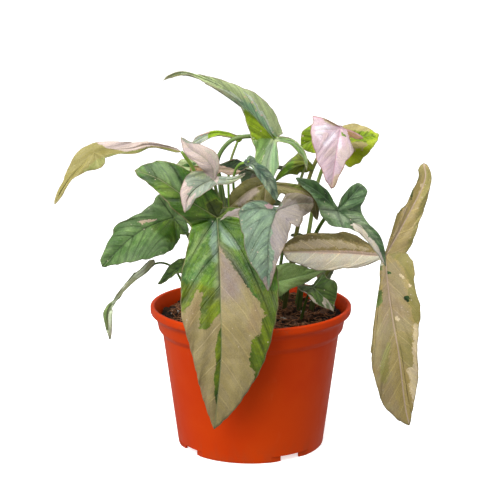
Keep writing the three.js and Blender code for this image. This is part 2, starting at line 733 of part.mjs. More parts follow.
// A leaf blade is drawn flat round the place where its ribs part, with the main rib along +Y
// of the drawing, and is then carried onto its three ribs in space.
function makeBlade(leaf) {
  const centre = leaf.centre ?? leaf.joint;
  const main = makeRib(centre, leaf.main, leaf.fold ?? BLADE.fold);
  const right = makeRib(centre, leaf.right, BLADE.lobeFold);
  const left = makeRib(centre, leaf.left, BLADE.lobeFold);
  const ahead = main.curve.getTangentAt(0);
  const opening = (rib) => {
    const angle = ahead.angleTo(rib.curve.getTangentAt(0));
    return THREE.MathUtils.clamp(angle, LOBE_ANGLE.narrowest, LOBE_ANGLE.widest);
  };
  const rightAngle = opening(right);
  const leftAngle = 2 * Math.PI - opening(left);
  const notch = (rightAngle + leftAngle) / 2;
  const ribs = [[main, 0], [right, rightAngle], [left, leftAngle]];

  const radius = (angle) => {
    let total = BLADE.hub ** LOBE_BLEND;
    for (const [rib, at] of ribs) {
      const off = wrapAngle(angle - at);
      total += reach(off, rib.length, off < 0 ? rib.left : rib.right) ** LOBE_BLEND;
    }
    return total ** (1 / LOBE_BLEND);
  };

  const place = (angle, distance) => {
    const turn = angle < 0 ? angle + 2 * Math.PI : angle;
    const share = [0, 0, 0];
    if (turn <= rightAngle) {
      share[1] = smoothStep(turn / rightAngle, BLEND_FROM, BLEND_TO);
      share[0] = 1 - share[1];
    } else if (turn < leftAngle) {
      share[2] = smoothStep((turn - rightAngle) / (leftAngle - rightAngle), 0, 1);
      share[1] = 1 - share[2];
    } else {
      const part = (turn - leftAngle) / (2 * Math.PI - leftAngle);
      share[0] = smoothStep(part, BLEND_FROM, BLEND_TO);
      share[2] = 1 - share[0];
    }
    const result = new THREE.Vector3();
    ribs.forEach(([rib, at], k) => {
      if (share[k] > 0) {
        const off = turn - at;
        const across = distance * Math.sin(off);
        const frame = ribFrame(rib, distance * Math.cos(off));
        const lift = THREE.MathUtils.degToRad(rib.fold);
        frame.point.addScaledVector(frame.side, across * Math.cos(lift));
        frame.point.addScaledVector(frame.up, Math.abs(across) * Math.sin(lift));
        result.addScaledVector(frame.point, share[k]);
      }
    });
    return result;
  };

  const angles = edgeAngles(radius, [0, rightAngle, notch, leftAngle, 2 * Math.PI], leaf.edge);
  const count = angles.length;
  const reaches = angles.map(radius);
  const laps = [0];
  for (let k = 1; k < count; k += 1) {
    const from = flatPoint(angles[k - 1], reaches[k - 1]);
    laps.push(laps[k - 1] + from.distanceTo(flatPoint(angles[k], reaches[k])));
  }
  const waves = Math.max(BLADE.fewestWaves, Math.round(laps[count - 1] / BLADE.waveLength));

  const surface = [place(0, 0)];
  const heights = [0];
  for (let ring = 1; ring <= leaf.rings; ring += 1) {
    const fraction = ring / leaf.rings;
    for (let k = 0; k < count; k += 1) {
      surface.push(place(angles[k], reaches[k] * fraction));
      const phase = (2 * Math.PI * waves * laps[k]) / (laps[count - 1] + BLADE.seam);
      heights.push(BLADE.wave * fraction ** 3 * Math.sin(phase));
    }
  }
  return thicken(surface, heights, count, leaf.rings);
}

function flatPoint(angle, distance) {
  return new THREE.Vector2(distance * Math.sin(angle), distance * Math.cos(angle));
}

// Angles of the edge points, evenly spaced along the edge, with each rib and the notch.
function edgeAngles(radius, knots, count) {
  const stretches = knots.slice(0, -1).map((start, k) => {
    const end = knots[k + 1];
    const angles = [];
    const laps = [0];
    for (let i = 0; i <= EDGE_STEPS; i += 1) {
      angles.push(start + (end - start) * smoothStep(i / EDGE_STEPS, 0, 1));
      if (i > 0) {
        const here = flatPoint(angles[i], radius(angles[i]));
        laps.push(laps[i - 1] + here.distanceTo(flatPoint(angles[i - 1], radius(angles[i - 1]))));
      }
    }
    return { angles, laps };
  });
  const total = stretches.reduce((sum, s) => sum + s.laps[EDGE_STEPS], 0);
  const result = [];
  for (const { angles, laps } of stretches) {
    const pieces = Math.max(2, Math.round((count * laps[EDGE_STEPS]) / total));
    for (let p = 0; p < pieces; p += 1) {
      const target = (laps[EDGE_STEPS] * p) / pieces;
      let i = 0;
      while (i < EDGE_STEPS - 1 && laps[i + 1] < target) {
        i += 1;
      }
      const part = (target - laps[i]) / Math.max(laps[i + 1] - laps[i], TINY);
      result.push(angles[i] + (angles[i + 1] - angles[i]) * part);
    }
  }
  return result;
}

// Gives the surface its wave and thickness. Both faces have the same triangles.
function thicken(surface, heights, count, rings) {
  const faces = [];
  for (let i = 0; i < count; i += 1) {
    const j = (i + 1) % count;
    faces.push([0, 1 + j, 1 + i]);
    for (let ring = 0; ring < rings - 1; ring += 1) {
      const inner = 1 + ring * count;
      const outer = inner + count;
      faces.push([inner + i, inner + j, outer + j], [inner + i, outer + j, outer + i]);
    }
  }
  const normals = surface.map(() => new THREE.Vector3());
  for (const [a, b, c] of faces) {
    const normal = surface[b].clone().sub(surface[a]).cross(surface[c].clone().sub(surface[a]));
    normals[a].add(normal);
    normals[b].add(normal);
    normals[c].add(normal);
  }
  const corners = [];
  const half = BLADE.thickness / 2;
  for (const face of [half, -half]) {
    surface.forEach((point, k) => {
      const normal = normals[k].normalize();
      const p = point.clone().addScaledVector(normal, heights[k] + face);
      corners.push(p.x, p.y, p.z);
    });
  }
  const under = surface.length;
  const index = [];
  for (const [a, b, c] of faces) {
    index.push(a, b, c, under + a, under + c, under + b);
  }
  const edge = 1 + (rings - 1) * count;
  for (let i = 0; i < count; i += 1) {
    const a = edge + i;
    const b = edge + ((i + 1) % count);
    index.push(a, b, under + b, a, under + b, under + a);
  }
  const geometry = new THREE.BufferGeometry();
  geometry.setAttribute("position", new THREE.Float32BufferAttribute(corners, 3));
  geometry.setIndex(index);
  return geometry;
}

function petiolePath(leaf) {
  const [[x, y], ...route] = leaf.petiole;
  const points = [[x, y, SOIL.level - PETIOLE.footDepth], ...route, leaf.joint];
  return new THREE.CatmullRomCurve3(points.map((p) => new THREE.Vector3(...p)));
}

function makePetiole(leaf) {
  const section = new THREE.Shape();
  for (let k = 0; k < PETIOLE.sides; k += 1) {
    const angle = (2 * Math.PI * k) / PETIOLE.sides;
    const corner = [leaf.radius * Math.cos(angle), leaf.radius * Math.sin(angle)];
    if (k === 0) {
      section.moveTo(...corner);
    } else {
      section.lineTo(...corner);
    }
  }
  section.closePath();
  return new THREE.ExtrudeGeometry(section, {
    steps: PETIOLE.steps + leaf.petiole.length,
    extrudePath: petiolePath(leaf),
    bevelEnabled: false,
  });
}

function makeLeaf(leaf) {
  const solid = toSolid(makeBlade(leaf)).add(toSolid(makePetiole(leaf)));
  return named(leaf.name, toGeometry(solid), leaf.look);
}

// ---------------------------------------------------------------- plant

const plant = new THREE.Group();
plant.add(makePot(), makeSoil());
for (const leaf of LEAVES) {
  plant.add(makeLeaf(leaf));
}

export default plant;
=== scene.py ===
"""An arrowhead plant in a nursery pot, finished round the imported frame.

Sizes in the tables are millimetres in the frame's axes, as the solids have them.
Places given as picture points are in the 500 x 500 picture of this scene's camera.
"""
import math

import bpy
import numpy as np
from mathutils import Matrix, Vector


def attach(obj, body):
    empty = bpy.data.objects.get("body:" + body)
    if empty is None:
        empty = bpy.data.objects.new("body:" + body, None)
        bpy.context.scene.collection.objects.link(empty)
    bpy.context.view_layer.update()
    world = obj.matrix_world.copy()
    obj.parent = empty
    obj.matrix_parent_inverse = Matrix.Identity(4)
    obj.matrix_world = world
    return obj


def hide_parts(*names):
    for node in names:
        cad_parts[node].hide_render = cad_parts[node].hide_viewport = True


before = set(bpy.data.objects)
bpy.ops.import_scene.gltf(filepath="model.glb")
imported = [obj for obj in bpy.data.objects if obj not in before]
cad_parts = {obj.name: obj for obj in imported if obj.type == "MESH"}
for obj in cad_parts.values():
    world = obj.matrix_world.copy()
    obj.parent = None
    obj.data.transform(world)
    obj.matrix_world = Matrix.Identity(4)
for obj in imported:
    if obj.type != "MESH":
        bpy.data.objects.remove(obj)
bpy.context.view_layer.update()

MM = 0.001
FULL_TURN = 2 * math.pi
# A distance that nothing here is as far as, and a length that counts as none.
FAR = 1e9
TINY = 1e-9


# ---------------------------------------------------------------- camera

PICTURE_SIDE = 500
SENSOR = 36.0
FOCAL_PIXELS = 1473.6
CAMERA_AT = (-0.6, -1082.0, 389.0)
CAMERA_DOWN = math.radians(12.49)
SEES_FROM, SEES_TO = 0.05, 20
# Size of a picture point at the plant, in millimetres.
POINT_SIZE = 0.757


def add_object(name, data):
    made = bpy.data.objects.new(name, data)
    bpy.context.scene.collection.objects.link(made)
    return made


def make_camera():
    data = bpy.data.cameras.new("camera")
    data.sensor_width = SENSOR
    data.lens = FOCAL_PIXELS * SENSOR / PICTURE_SIDE
    data.clip_start, data.clip_end = SEES_FROM, SEES_TO
    camera = add_object("camera", data)
    camera.location = Vector(CAMERA_AT) * MM
    camera.rotation_euler = (math.pi / 2 - CAMERA_DOWN, 0, 0)
    bpy.context.scene.camera = camera
    bpy.context.scene.view_settings.view_transform = "Standard"


def picture_points(points):
    """Where points of the frame, in millimetres, fall in the camera's picture."""
    off = np.asarray(points, float) - np.array(CAMERA_AT)
    sine, cosine = math.sin(CAMERA_DOWN), math.cos(CAMERA_DOWN)
    depth = off[:, 1] * cosine - off[:, 2] * sine
    rise = off[:, 1] * sine + off[:, 2] * cosine
    middle = PICTURE_SIDE / 2
    right = middle + FOCAL_PIXELS * off[:, 0] / depth
    return np.stack([right, middle - FOCAL_PIXELS * rise / depth], 1)


# ---------------------------------------------------------------- light and floor

# In metres. The floor bends up into the wall.
STAGE = {"radius": 3.0, "bend": 0.8, "bend_steps": 12, "height": 1.8, "sides": 96}
FLOOR_TONE, FLOOR_GLOW, FLOOR_ROUGH = 0.8, 0.62, 0.9
SKY = 0.5
AIM = (0, 0, 0.15)
# Each lamp's place, side and power.
LAMPS = {
    "key": ((-1.0, -1.25, 1.25), 1.8, 53),
    "fill": ((1.3, -1.0, 0.8), 1.2, 3),
    "top": ((0.1, -0.3, 1.7), 1.2, 22),
}


def make_stage():
    """A seamless pale floor that bends up into a low round wall.

    The plant neither reflects it nor is lit by it, so that a white floor doesn't wash out
    the colours: the sky and the lamps alone light the plant.
    """
    radius, bend, sides = STAGE["radius"], STAGE["bend"], STAGE["sides"]
    profile = []
    for k in range(STAGE["bend_steps"] + 1):
        angle = math.pi / 2 * k / STAGE["bend_steps"]
        profile.append((radius - bend + bend * math.sin(angle), bend - bend * math.cos(angle)))
    profile.append((radius, STAGE["height"]))
    corners = [(0.0, 0.0, 0.0)]
    for r, z in profile:
        for turn in np.arange(sides) * FULL_TURN / sides:
            corners.append((r * math.cos(turn), r * math.sin(turn), z))
    _, faces = fan_faces(sides, len(profile))
    mesh = bpy.data.meshes.new("backdrop")
    mesh.from_pydata(corners, [], [tuple(reversed(face)) for face in faces])
    mesh.polygons.foreach_set("use_smooth", [True] * len(faces))
    backdrop = add_object("backdrop", mesh)
    backdrop.visible_diffuse = False
    backdrop.visible_glossy = False
    paint = Paint("studio_floor")
    paint.surface({
        "Base Color": (FLOOR_TONE, FLOOR_TONE, FLOOR_TONE, 1), "Roughness": FLOOR_ROUGH,
        "Emission Color": (1, 1, 1, 1), "Emission Strength": FLOOR_GLOW,
    })
    mesh.materials.append(paint.material)


def make_lights():
    world = bpy.data.worlds.new("studio")
    bpy.context.scene.world = world
    world.use_nodes = True
    sky = world.node_tree.nodes["Background"]
    sky.inputs["Color"].default_value = (1, 1, 1, 1)
    sky.inputs["Strength"].default_value = SKY
    for name, (place, side, power) in LAMPS.items():
        data = bpy.data.lights.new(name, "AREA")
        data.shape = "RECTANGLE"
        data.size = data.size_y = side
        data.energy = power
        lamp = add_object(name, data)
        lamp.location = place
        lamp.rotation_euler = (Vector(AIM) - Vector(place)).to_track_quat("-Z", "Y").to_euler()


# ---------------------------------------------------------------- materials

# How much brighter than its own colour the studio light makes a surface that faces it.
LIGHT_GAIN = 1.5
# The pale haze that gloss under a white sky lays over a colour.
GLOSS_HAZE = 0.012
DARKEST = 0.002


def tone(red, green, blue):
    """The linear colour of a surface that shows as this display colour, 0 to 255, when lit."""
    def linear(value):
        part = value / 255
        shown = part / 12.92 if part <= 0.04045 else ((part + 0.055) / 1.055) ** 2.4
        return max(shown - GLOSS_HAZE, DARKEST) / LIGHT_GAIN
    return (linear(red), linear(green), linear(blue), 1.0)


class Paint:
    """A node material that is built by short calls. Each call returns an output socket."""

    def __init__(self, name):
        self.material = bpy.data.materials.new(name)
        self.material.use_nodes = True
        self.tree = self.material.node_tree
        self.shader = self.tree.nodes["Principled BSDF"]

    def make(self, kind, inputs, **settings):
        node = self.tree.nodes.new("ShaderNode" + kind)
        for name, value in settings.items():
            setattr(node, name, value)
        for key, value in inputs.items():
            self.feed(node.inputs[key], value)
        return node

    def node(self, kind, inputs, output=0, **settings):
        return self.make(kind, inputs, **settings).outputs[output]

    def feed(self, socket, value):
        if isinstance(value, bpy.types.NodeSocket):
            self.tree.links.new(value, socket)
        else:
            socket.default_value = value

    def surface(self, inputs):
        for key, value in inputs.items():
            self.feed(self.shader.inputs[key], value)

    def number(self, name):
        return self.node("Attribute", {}, "Fac", attribute_name=name)

    def place(self, name):
        return self.node("Attribute", {}, "Vector", attribute_name=name)

    def parts(self, value, kind="XYZ"):
        """The three parts of a vector, or of a colour with kind "Color"."""
        return list(self.make("Separate" + kind, {0: value}).outputs)

    def math(self, operation, first, second=0.0, third=0.0):
        return self.node("Math", {0: first, 1: second, 2: third}, operation=operation)

    def times(self, first, second):
        return self.math("MULTIPLY", first, second)

    def plus(self, first, second):
        return self.math("ADD", first, second)

    def minus(self, first, second):
        return self.math("SUBTRACT", first, second)

    def times_plus(self, first, second, third):
        return self.math("MULTIPLY_ADD", first, second, third)

    def scaled(self, vector, scale):
        return self.node("VectorMath", {0: vector, 1: scale}, operation="MULTIPLY")

    def ramp(self, value, low, high, start=0.0, end=1.0):
        """Smooth change from start to end as value goes from low to high."""
        inputs = {"Value": value, 1: low, 2: high, 3: start, 4: end}
        return self.node("MapRange", inputs, interpolation_type="SMOOTHSTEP")

    def noise(self, vector, scale, detail=3.0, roughness=0.55):
        inputs = {"Vector": vector, "Scale": scale, "Detail": detail, "Roughness": roughness}
        return self.node("TexNoise", inputs)

    def cells(self, vector, scale, feature="F1", output="Distance"):
        inputs = {"Vector": vector, "Scale": scale}
        return self.node("TexVoronoi", inputs, output, feature=feature, voronoi_dimensions="2D")

    def mix(self, share, first, second, blend="MIX"):
        inputs = {"Factor": share, 6: first, 7: second}
        return self.node("Mix", inputs, 2, data_type="RGBA", blend_type=blend)

    def shade(self, colour, red, green, blue):
        """A colour with each of its parts made lighter or darker."""
        light = self.node("CombineColor", {0: red, 1: green, 2: blue})
        return self.mix(1.0, colour, light, "MULTIPLY")

    def bump(self, height, strength, distance):
        return self.node("Bump", {"Height": height, "Strength": strength, "Distance": distance})


# ---------------------------------------------------------------- leaf table

STUB = [3, 3, 3, 2]


def lobe(through, up, right, left):
    """Points that its rib passes through, ways its face looks, half widths on each side."""
    return {"through": through, "up": up, "right": right, "left": left}


def stub(point, up):
    return lobe([point], [up], STUB, STUB)


def plan(name, **given):
    return {"name": name, **given}


LEAVES = [
  plan("leaf_front", look="green", edge=44, radius=2.3, fold=5,
    joint=[-24, -50, 184],
    petiole=[[-16, -30], [-18, -32, 140], [-22, -38, 165]],
    main=lobe([[-22, -70, 156], [-21, -84, 124], [-21, -88, 89], [-26, -88, 39]],
          [[-0.1, -0.8, 0.6], [0, -1, 0.1], [0, -1, 0], [0.1, -1, -0.1]],
          [20, 24, 28, 28, 24, 19, 13, 5], [21, 31, 39, 39, 35, 29, 20, 9]),
    right=lobe([[-41, -52, 195], [-64, -50, 211], [-83, -44, 217]],
          [[-0.1, -0.8, 0.6], [-0.2, -0.8, 0.5]],
          [15, 18, 19, 17, 14, 7], [8, 13, 13, 10, 7, 4]),
    left=lobe([[-13, -50, 185], [7, -47, 187]], [[0.1, -0.8, 0.6]], [4, 5, 5, 3], [8, 7, 5, 3])),
  plan("leaf_middle", look="pale", edge=30, radius=2,
    joint=[18, -66, 192],
    petiole=[[10, -38], [12, -44, 150], [16, -55, 177]],
    main=lobe([[13, -76, 177], [12, -84, 160], [12, -90, 140]],
          [[0, -0.9, 0.4], [0, -1, 0.1]],
          [20, 24, 23, 20, 17, 12, 7, 2.5], [12, 13, 13, 12, 9, 6, 4, 1.5]),
    right=lobe([[5, -68, 194], [-8, -68, 191]], [[-0.1, -0.9, 0.4]],
          [3.5, 6, 6, 4.5], [6, 10, 11, 8]),
    left=lobe([[32, -66, 197], [45, -60, 196]], [[0.1, -0.9, 0.4]],
          [7, 17, 10, 5], [3, 9, 7, 4.5])),
  plan("leaf_teal", look="dark", edge=18, radius=1.3,
    joint=[-1, -58, 226],
    petiole=[[-4, -29], [-8, -31, 150], [-12, -34, 196], [-12, -46, 214], [-8, -54, 223]],
    main=lobe([[9, -63, 217], [14, -65, 209], [18, -66, 199]], [[0.3, -0.8, 0.5]],
          [2.5, 4.5, 5, 3], [3, 5, 5, 3]),
    right=stub([-3, -57, 223], [0, -0.8, 0.5]),
    left=stub([2, -57, 229], [0, -0.8, 0.5])),
  plan("leaf_behind_middle", look="tan", edge=22, radius=1.7,
    joint=[11, -46, 208],
    petiole=[[2, -22], [6, -28, 160], [10, -38, 196]],
    main=lobe([[10, -52, 199], [9, -56, 190]], [[0, -0.9, 0.4]], [10, 10, 8, 4], [10, 10, 8, 4]),
    right=lobe([[-2, -45, 202], [-15, -41, 190]], [[-0.2, -0.8, 0.4]],
          [7, 8, 8, 5], [6, 8, 7, 4]),
    left=lobe([[26, -46, 205], [43, -42, 198], [48, -38, 180]], [[0.2, -0.8, 0.4]],
          [5, 7, 7, 4], [2.5, 4, 4.5, 3])),
  plan("leaf_top", look="pale", edge=44, radius=2.2,
    joint=[17, -24, 237],
    petiole=[[-18, -6], [-21, -16, 150], [-22, -22, 200], [-24, -24, 222], [-14, -25, 236], [1, -24, 239]],
    main=lobe([[3, -30, 254], [-8, -36, 266], [-18, -41, 274.5], [-31, -45, 281.5],
           [-48, -49, 287], [-62, -50, 282]],
          [[-0.2, -0.9, 0.4], [-0.3, -0.8, 0.5], [0, -0.7, 0.7]],
          [10, 13, 12.5, 8.3, 5, 3, 1.2, 0.8], [15, 10, 4.2, 2, 2.4, 3.2, 1.4, 0.6]),
    right=lobe([[31, -26, 234], [39, -28, 224], [40, -28, 214]], [[0.3, -0.7, 0.6]],
          [3, 3, 2.5, 1], [2.5, 3, 2.5, 1]),
    left=lobe([[13, -32, 224], [10, -38, 209]], [[0.1, -1, 0.1]], [9, 10, 10, 7], [4, 7, 9, 7])),
  plan("leaf_left_long", look="tan", edge=36, radius=1.9,
    joint=[-51, -6, 225], centre=[-113, -32, 228],
    petiole=[[-26, 2], [-31, 1, 160], [-42, -3, 210]],
    main=lobe([[-118, -36, 223], [-126, -43, 215], [-132, -52, 207], [-138, -64, 196]],
          [[-0.2, -0.8, 0.5], [-0.4, -0.8, 0.3]],
          [9, 6.5, 3.5, 2], [8, 5.5, 3, 1]),
    right=lobe([[-99, -26, 229], [-87, -20, 229], [-75, -14, 231], [-62, -9, 228], [-51, -6, 225]],
          [[-0.2, -0.8, 0.5], [0, -0.9, 0.5]],
          [10, 6.2, 5.1, 5, 3.3, 2.2, 1.5, 1.5], [8.4, 7.3, 5.8, 5.2, 3.6, 2.2, 1.8, 1.6]),
    left=lobe([[-107, -38, 218]], [[-0.2, -0.8, 0.5]], [8, 8, 7, 5], [12, 12, 9, 6])),
  plan("leaf_pink_tip", look="pale", edge=30, radius=1.7,
    joint=[-26, -56, 213],
    petiole=[[-10, -17], [-14, -23, 140], [-20, -32, 178], [-25, -42, 203]],
    main=lobe([[-36, -63, 209], [-43, -66, 202], [-46, -67, 191]], [[-0.2, -0.9, 0.3]],
          [8, 15, 8, 3], [5, 7, 5, 2.5]),
    right=lobe([[-27, -60, 222], [-34, -62, 230], [-42, -62, 235], [-49, -60, 243]],
          [[-0.1, -0.9, 0.4]],
          [3, 9, 7, 3], [3, 7, 6, 3]),
    left=lobe([[-16, -60, 213], [-9, -63, 215], [-3, -65, 219]], [[0, -0.9, 0.4]],
          [3.5, 3, 2, 1], [3.5, 3, 2, 1])),
  plan("leaf_cupped", look="dark", edge=16, radius=1.2,
    joint=[-23, -38, 217],
    petiole=[[-8, -7], [-14, -19, 150], [-20, -30, 200]],
    main=lobe([[-11, -38, 217], [-1, -37, 219]], [[0, -0.7, 0.7]], [3, 5, 5, 2], [5, 7, 8, 4]),
    right=stub([-26, -38, 214], [0, -0.7, 0.7]),
    left=stub([-26, -37, 220], [0, -0.7, 0.7])),
  plan("leaf_left_upper", look="green", edge=18, radius=1.3,
    joint=[-9, -8, 235],
    petiole=[[-12, 7], [-14, 3, 150], [-16, -5, 212]],
    main=lobe([[-17, -9, 238], [-26, -10, 239], [-37, -11, 235], [-46, -12, 229]],
          [[-0.1, -0.7, 0.7]],
          [1.5, 2.5, 3, 1.5], [1.5, 4, 4, 2]),
    right=lobe([[-6, -6, 236]], [[0, -0.7, 0.7]], [2, 2, 2, 1], [2, 2, 2, 1]),
    left=lobe([[-8, -7, 232]], [[0, -0.7, 0.7]], [2, 2, 2, 1], [2, 2, 2, 1])),
  plan("leaf_left_yellow", look="pale", edge=16, radius=1.3,
    joint=[-33, 6, 211],
    petiole=[[-19, 11], [-24, 11, 150], [-30, 9, 198]],
    main=lobe([[-45, 6, 211], [-57, 6, 212]], [[0, -0.8, 0.5]], [3, 5, 7, 4], [4, 4, 6, 4]),
    right=stub([-32, 7, 207], [0, -0.8, 0.5]),
    left=stub([-29, 7, 213], [0, -0.8, 0.5])),
  plan("leaf_left", look="dark", edge=30, radius=2,
    joint=[-56, -34, 181],
    petiole=[[-31, -15], [-38, -18, 140], [-48, -25, 170]],
    main=lobe([[-67, -38, 178], [-77, -42, 174], [-89, -46, 166], [-108, -46, 147]],
          [[-0.2, -0.8, 0.5]],
          [18, 14, 12, 12, 14, 11, 8, 4], [19, 24, 26, 26, 22, 17, 10, 3]),
    right=lobe([[-66, -32, 195]], [[-0.2, -0.8, 0.5]], [5, 6, 5, 3], [5, 6, 5, 3]),
    left=lobe([[-46, -38, 169]], [[0, -0.9, 0.4]], [5, 6, 5, 3], [5, 6, 5, 3])),
  plan("leaf_hanging", look="pale", edge=28, radius=1.1,
    joint=[-74, -28, 144], centre=[-105, -34, 111],
    petiole=[[-46, -14], [-50, -17, 125], [-58, -21, 141], [-66, -24, 145]],
    main=lobe([[-105, -33, 100], [-104, -32, 88]], [[0.1, -0.9, 0.3]],
          [3.5, 3, 2.2, 0.9], [3.5, 3, 2.2, 0.9]),
    right=lobe([[-99, -34, 120], [-93, -34, 128], [-86, -32, 135], [-78, -30, 141],
           [-71, -27, 148]],
          [[0.1, -0.9, 0.3]],
          [2.6, 1.2, 1.7, 1.2, 1.9, 2.4, 2.5, 2.8], [2.6, 1.2, 1.7, 1.2, 1.9, 2.4, 2.5, 2.8]),
    left=stub([-101.5, -34, 112], [0.1, -0.9, 0.3])),
  plan("leaf_small_dark", look="dark", edge=14, radius=1.3,
    joint=[-47, -44, 149],
    petiole=[[-39, -31], [-43, -37, 135]],
    main=lobe([[-57, -46, 142], [-67, -46, 134]], [[0, -0.8, 0.6]],
          [6, 6, 4, 1.5], [6, 3, 2, 1]),
    right=stub([-48, -43, 153], [0, -0.8, 0.6]),
    left=stub([-45, -43, 145], [0, -0.8, 0.6])),
  plan("leaf_right", look="tan", edge=46, radius=2.2,
    joint=[101, -2, 145],
    petiole=[[44, 8], [50, 8, 115], [64, 8, 136], [84, 4, 145]],
    main=lobe([[103, -10, 122], [107, -16, 95], [111, -18, 74], [117, -14, 32], [121, -12, 15]],
          [[0, -1, 0.3], [0.1, -1, 0]],
          [5, 6, 12, 18, 22, 21, 18, 8], [21, 20, 22, 18, 14, 13, 9, 4]),
    right=lobe([[74, -14, 150], [51, -22, 153], [23, -28, 154]], [[0, -0.95, 0.3]],
          [3, 9, 14, 16, 14, 14, 13, 9], [3, 8, 11, 12, 14, 14, 11, 7]),
    left=lobe([[116, 2, 172], [130, 7, 200], [130, 10, 214]], [[0.2, -0.9, 0.3]],
          [12, 13, 12, 10, 9, 7, 5, 3.5], [2, 4, 5, 8, 5, 6, 6, 6])),
  plan("leaf_right_front", look="dark", edge=34, radius=2,
    joint=[62, -44, 188],
    petiole=[[35, 5], [42, 3, 140], [48, -6, 162], [54, -20, 177], [58, -34, 184]],
    main=lobe([[74, -48, 180], [84, -50, 173], [92, -52, 163], [97, -52, 149]],
          [[0.1, -0.9, 0.4]],
          [12, 9, 6, 5, 5, 5, 4, 2], [10, 10, 8, 5, 5, 4, 2.5, 1]),
    right=lobe([[49, -46, 201], [32, -46, 212]], [[0, -0.9, 0.4]], [3, 6, 6, 3], [11, 8, 4.5, 2]),
    left=lobe([[70, -44, 196], [80, -40, 207]], [[0.1, -0.9, 0.4]],
          [6, 9, 9, 7], [2.5, 6, 6, 4])),
  plan("leaf_pink", look="pink", edge=28, radius=1.9,
    joint=[65, -20, 244],
    petiole=[[24, 8], [34, 2, 160], [44, -7, 208], [52, -9, 226], [60, -13, 239]],
    main=lobe([[62, -28, 229], [58, -34, 202]], [[0, -1, 0.2]],
          [20, 21, 20, 16, 14, 10, 7, 3], [6, 10, 15, 11, 8, 6, 4, 2.5]),
    right=lobe([[54, -22, 250], [45, -20, 253]], [[-0.1, -0.95, 0.3]],
          [1, 1, 1, 0.6], [6, 9, 9, 6]),
    left=lobe([[74, -18, 241], [82, -16, 236]], [[0.2, -0.9, 0.4]],
          [4, 4.5, 4.5, 2.5], [1, 1, 1, 1])),
  plan("leaf_right_upper", look="green", edge=24, radius=1.9,
    joint=[66, 2, 234],
    petiole=[[34, 19], [44, 13, 160], [52, 9, 205], [62, 8, 226]],
    main=lobe([[81, 0, 235], [95, -2, 237]], [[0.1, -0.8, 0.5]], [22, 22, 18, 9], [9, 10, 8, 3]),
    right=lobe([[69, 2, 222], [73, 2, 214]], [[0, -0.9, 0.3]], [4, 4, 4, 2.5], [4, 4, 4, 2.5]),
    left=lobe([[50, 0, 234], [37, 0, 228]], [[-0.1, -0.9, 0.3]], [8, 13, 11, 7], [9, 12, 12, 8])),
  plan("leaf_under_top", look="green", edge=20, radius=1.5,
    joint=[41, -14, 218],
    petiole=[[16, 1], [26, -2, 160], [37, -8, 205]],
    main=lobe([[31, -16, 215], [18, -18, 205]], [[0.2, 0.7, 0.6]], [9, 9, 4, 1.5], [9, 8, 5, 3]),
    right=stub([45, -13, 211], [0.2, 0.7, 0.6]),
    left=stub([37, -12, 224], [0.2, 0.7, 0.6])),
  plan("leaf_low_right", look="dark", edge=22, radius=1.3,
    joint=[46, -30, 128],
    petiole=[[35, -21], [42, -26, 120]],
    main=lobe([[54, -32, 120], [61, -32, 110]], [[0.2, -0.8, 0.6]],
          [8, 9, 7, 2], [10, 13, 10, 3]),
    right=lobe([[40, -30, 128], [34, -30, 128]], [[0.1, -0.8, 0.6]],
          [1.5, 1.5, 1.5, 1], [5, 5, 4, 2.5]),
    left=lobe([[51, -27, 133], [54, -25, 138]], [[0.1, -0.8, 0.6]],
          [4.5, 5, 4.5, 2], [1.5, 2, 2, 1.5])),
  plan("leaf_low_green", look="green", edge=20, radius=1.5,
    joint=[14, -10, 126],
    petiole=[[7, -6], [10, -8, 115]],
    main=lobe([[33, -12, 131], [58, -10, 137]], [[0, -0.8, 0.5]],
          [12, 8, 6, 2.5], [12, 12, 6, 1]),
    right=lobe([[13, -11, 117]], [[0, -0.8, 0.5]], [3, 6, 6, 4], [3, 6, 6, 4]),
    left=lobe([[10, -10, 136]], [[0, -0.8, 0.5]], [3, 6, 6, 4], [3, 6, 6, 4])),
  plan("leaf_back_centre", look="green", edge=26, radius=2,
    joint=[-10, 46, 172],
    petiole=[[-5, 24], [-6, 28, 135], [-9, 37, 162]],
    main=lobe([[-8, 66, 160], [-5, 84, 132], [-4, 88, 104], [-2, 93, 76]],
          [[0, 0.6, 0.8], [0, 1, 0.2], [0, 1, 0]],
          [19, 24, 19, 8], [19, 24, 19, 8]),
    right=lobe([[10, 46, 178], [24, 44, 176]], [[0, 0.6, 0.8]], [8, 8, 7, 5], [8, 7, 6, 4]),
    left=lobe([[-26, 46, 178], [-36, 44, 176]], [[0, 0.6, 0.8]], [8, 7, 6, 4], [8, 8, 7, 5])),
  plan("leaf_back_left", look="pale", edge=24, radius=1.8,
    joint=[-54, 30, 170],
    petiole=[[-26, 20], [-32, 23, 130], [-45, 27, 162]],
    main=lobe([[-60, 46, 166], [-66, 62, 154], [-68, 76, 136]],
          [[-0.3, 0.6, 0.8], [-0.5, 0.9, 0.2]],
          [12, 16, 12, 5], [12, 16, 12, 5]),
    right=lobe([[-44, 38, 174], [-38, 46, 172]], [[-0.2, 0.6, 0.8]], [5, 6, 5, 3], [5, 6, 5, 3]),
    left=lobe([[-66, 22, 172], [-76, 20, 166]], [[-0.4, 0.4, 0.8]], [5, 6, 5, 3], [5, 6, 5, 3])),
  plan("leaf_back_right", look="green", edge=24, radius=1.8,
    joint=[48, 40, 146],
    petiole=[[22, 26], [27, 30, 120], [40, 36, 140]],
    main=lobe([[52, 56, 140], [57, 74, 122], [60, 82, 98]],
          [[0.3, 0.6, 0.8], [0.5, 0.9, 0.2]],
          [12, 16, 12, 5], [12, 16, 12, 5]),
    right=lobe([[60, 34, 150], [68, 33, 148]], [[0.4, 0.4, 0.8]], [5, 6, 5, 3], [5, 6, 5, 3]),
    left=lobe([[38, 48, 150], [32, 54, 149]], [[0.2, 0.6, 0.8]], [5, 6, 5, 3], [5, 6, 5, 3])),
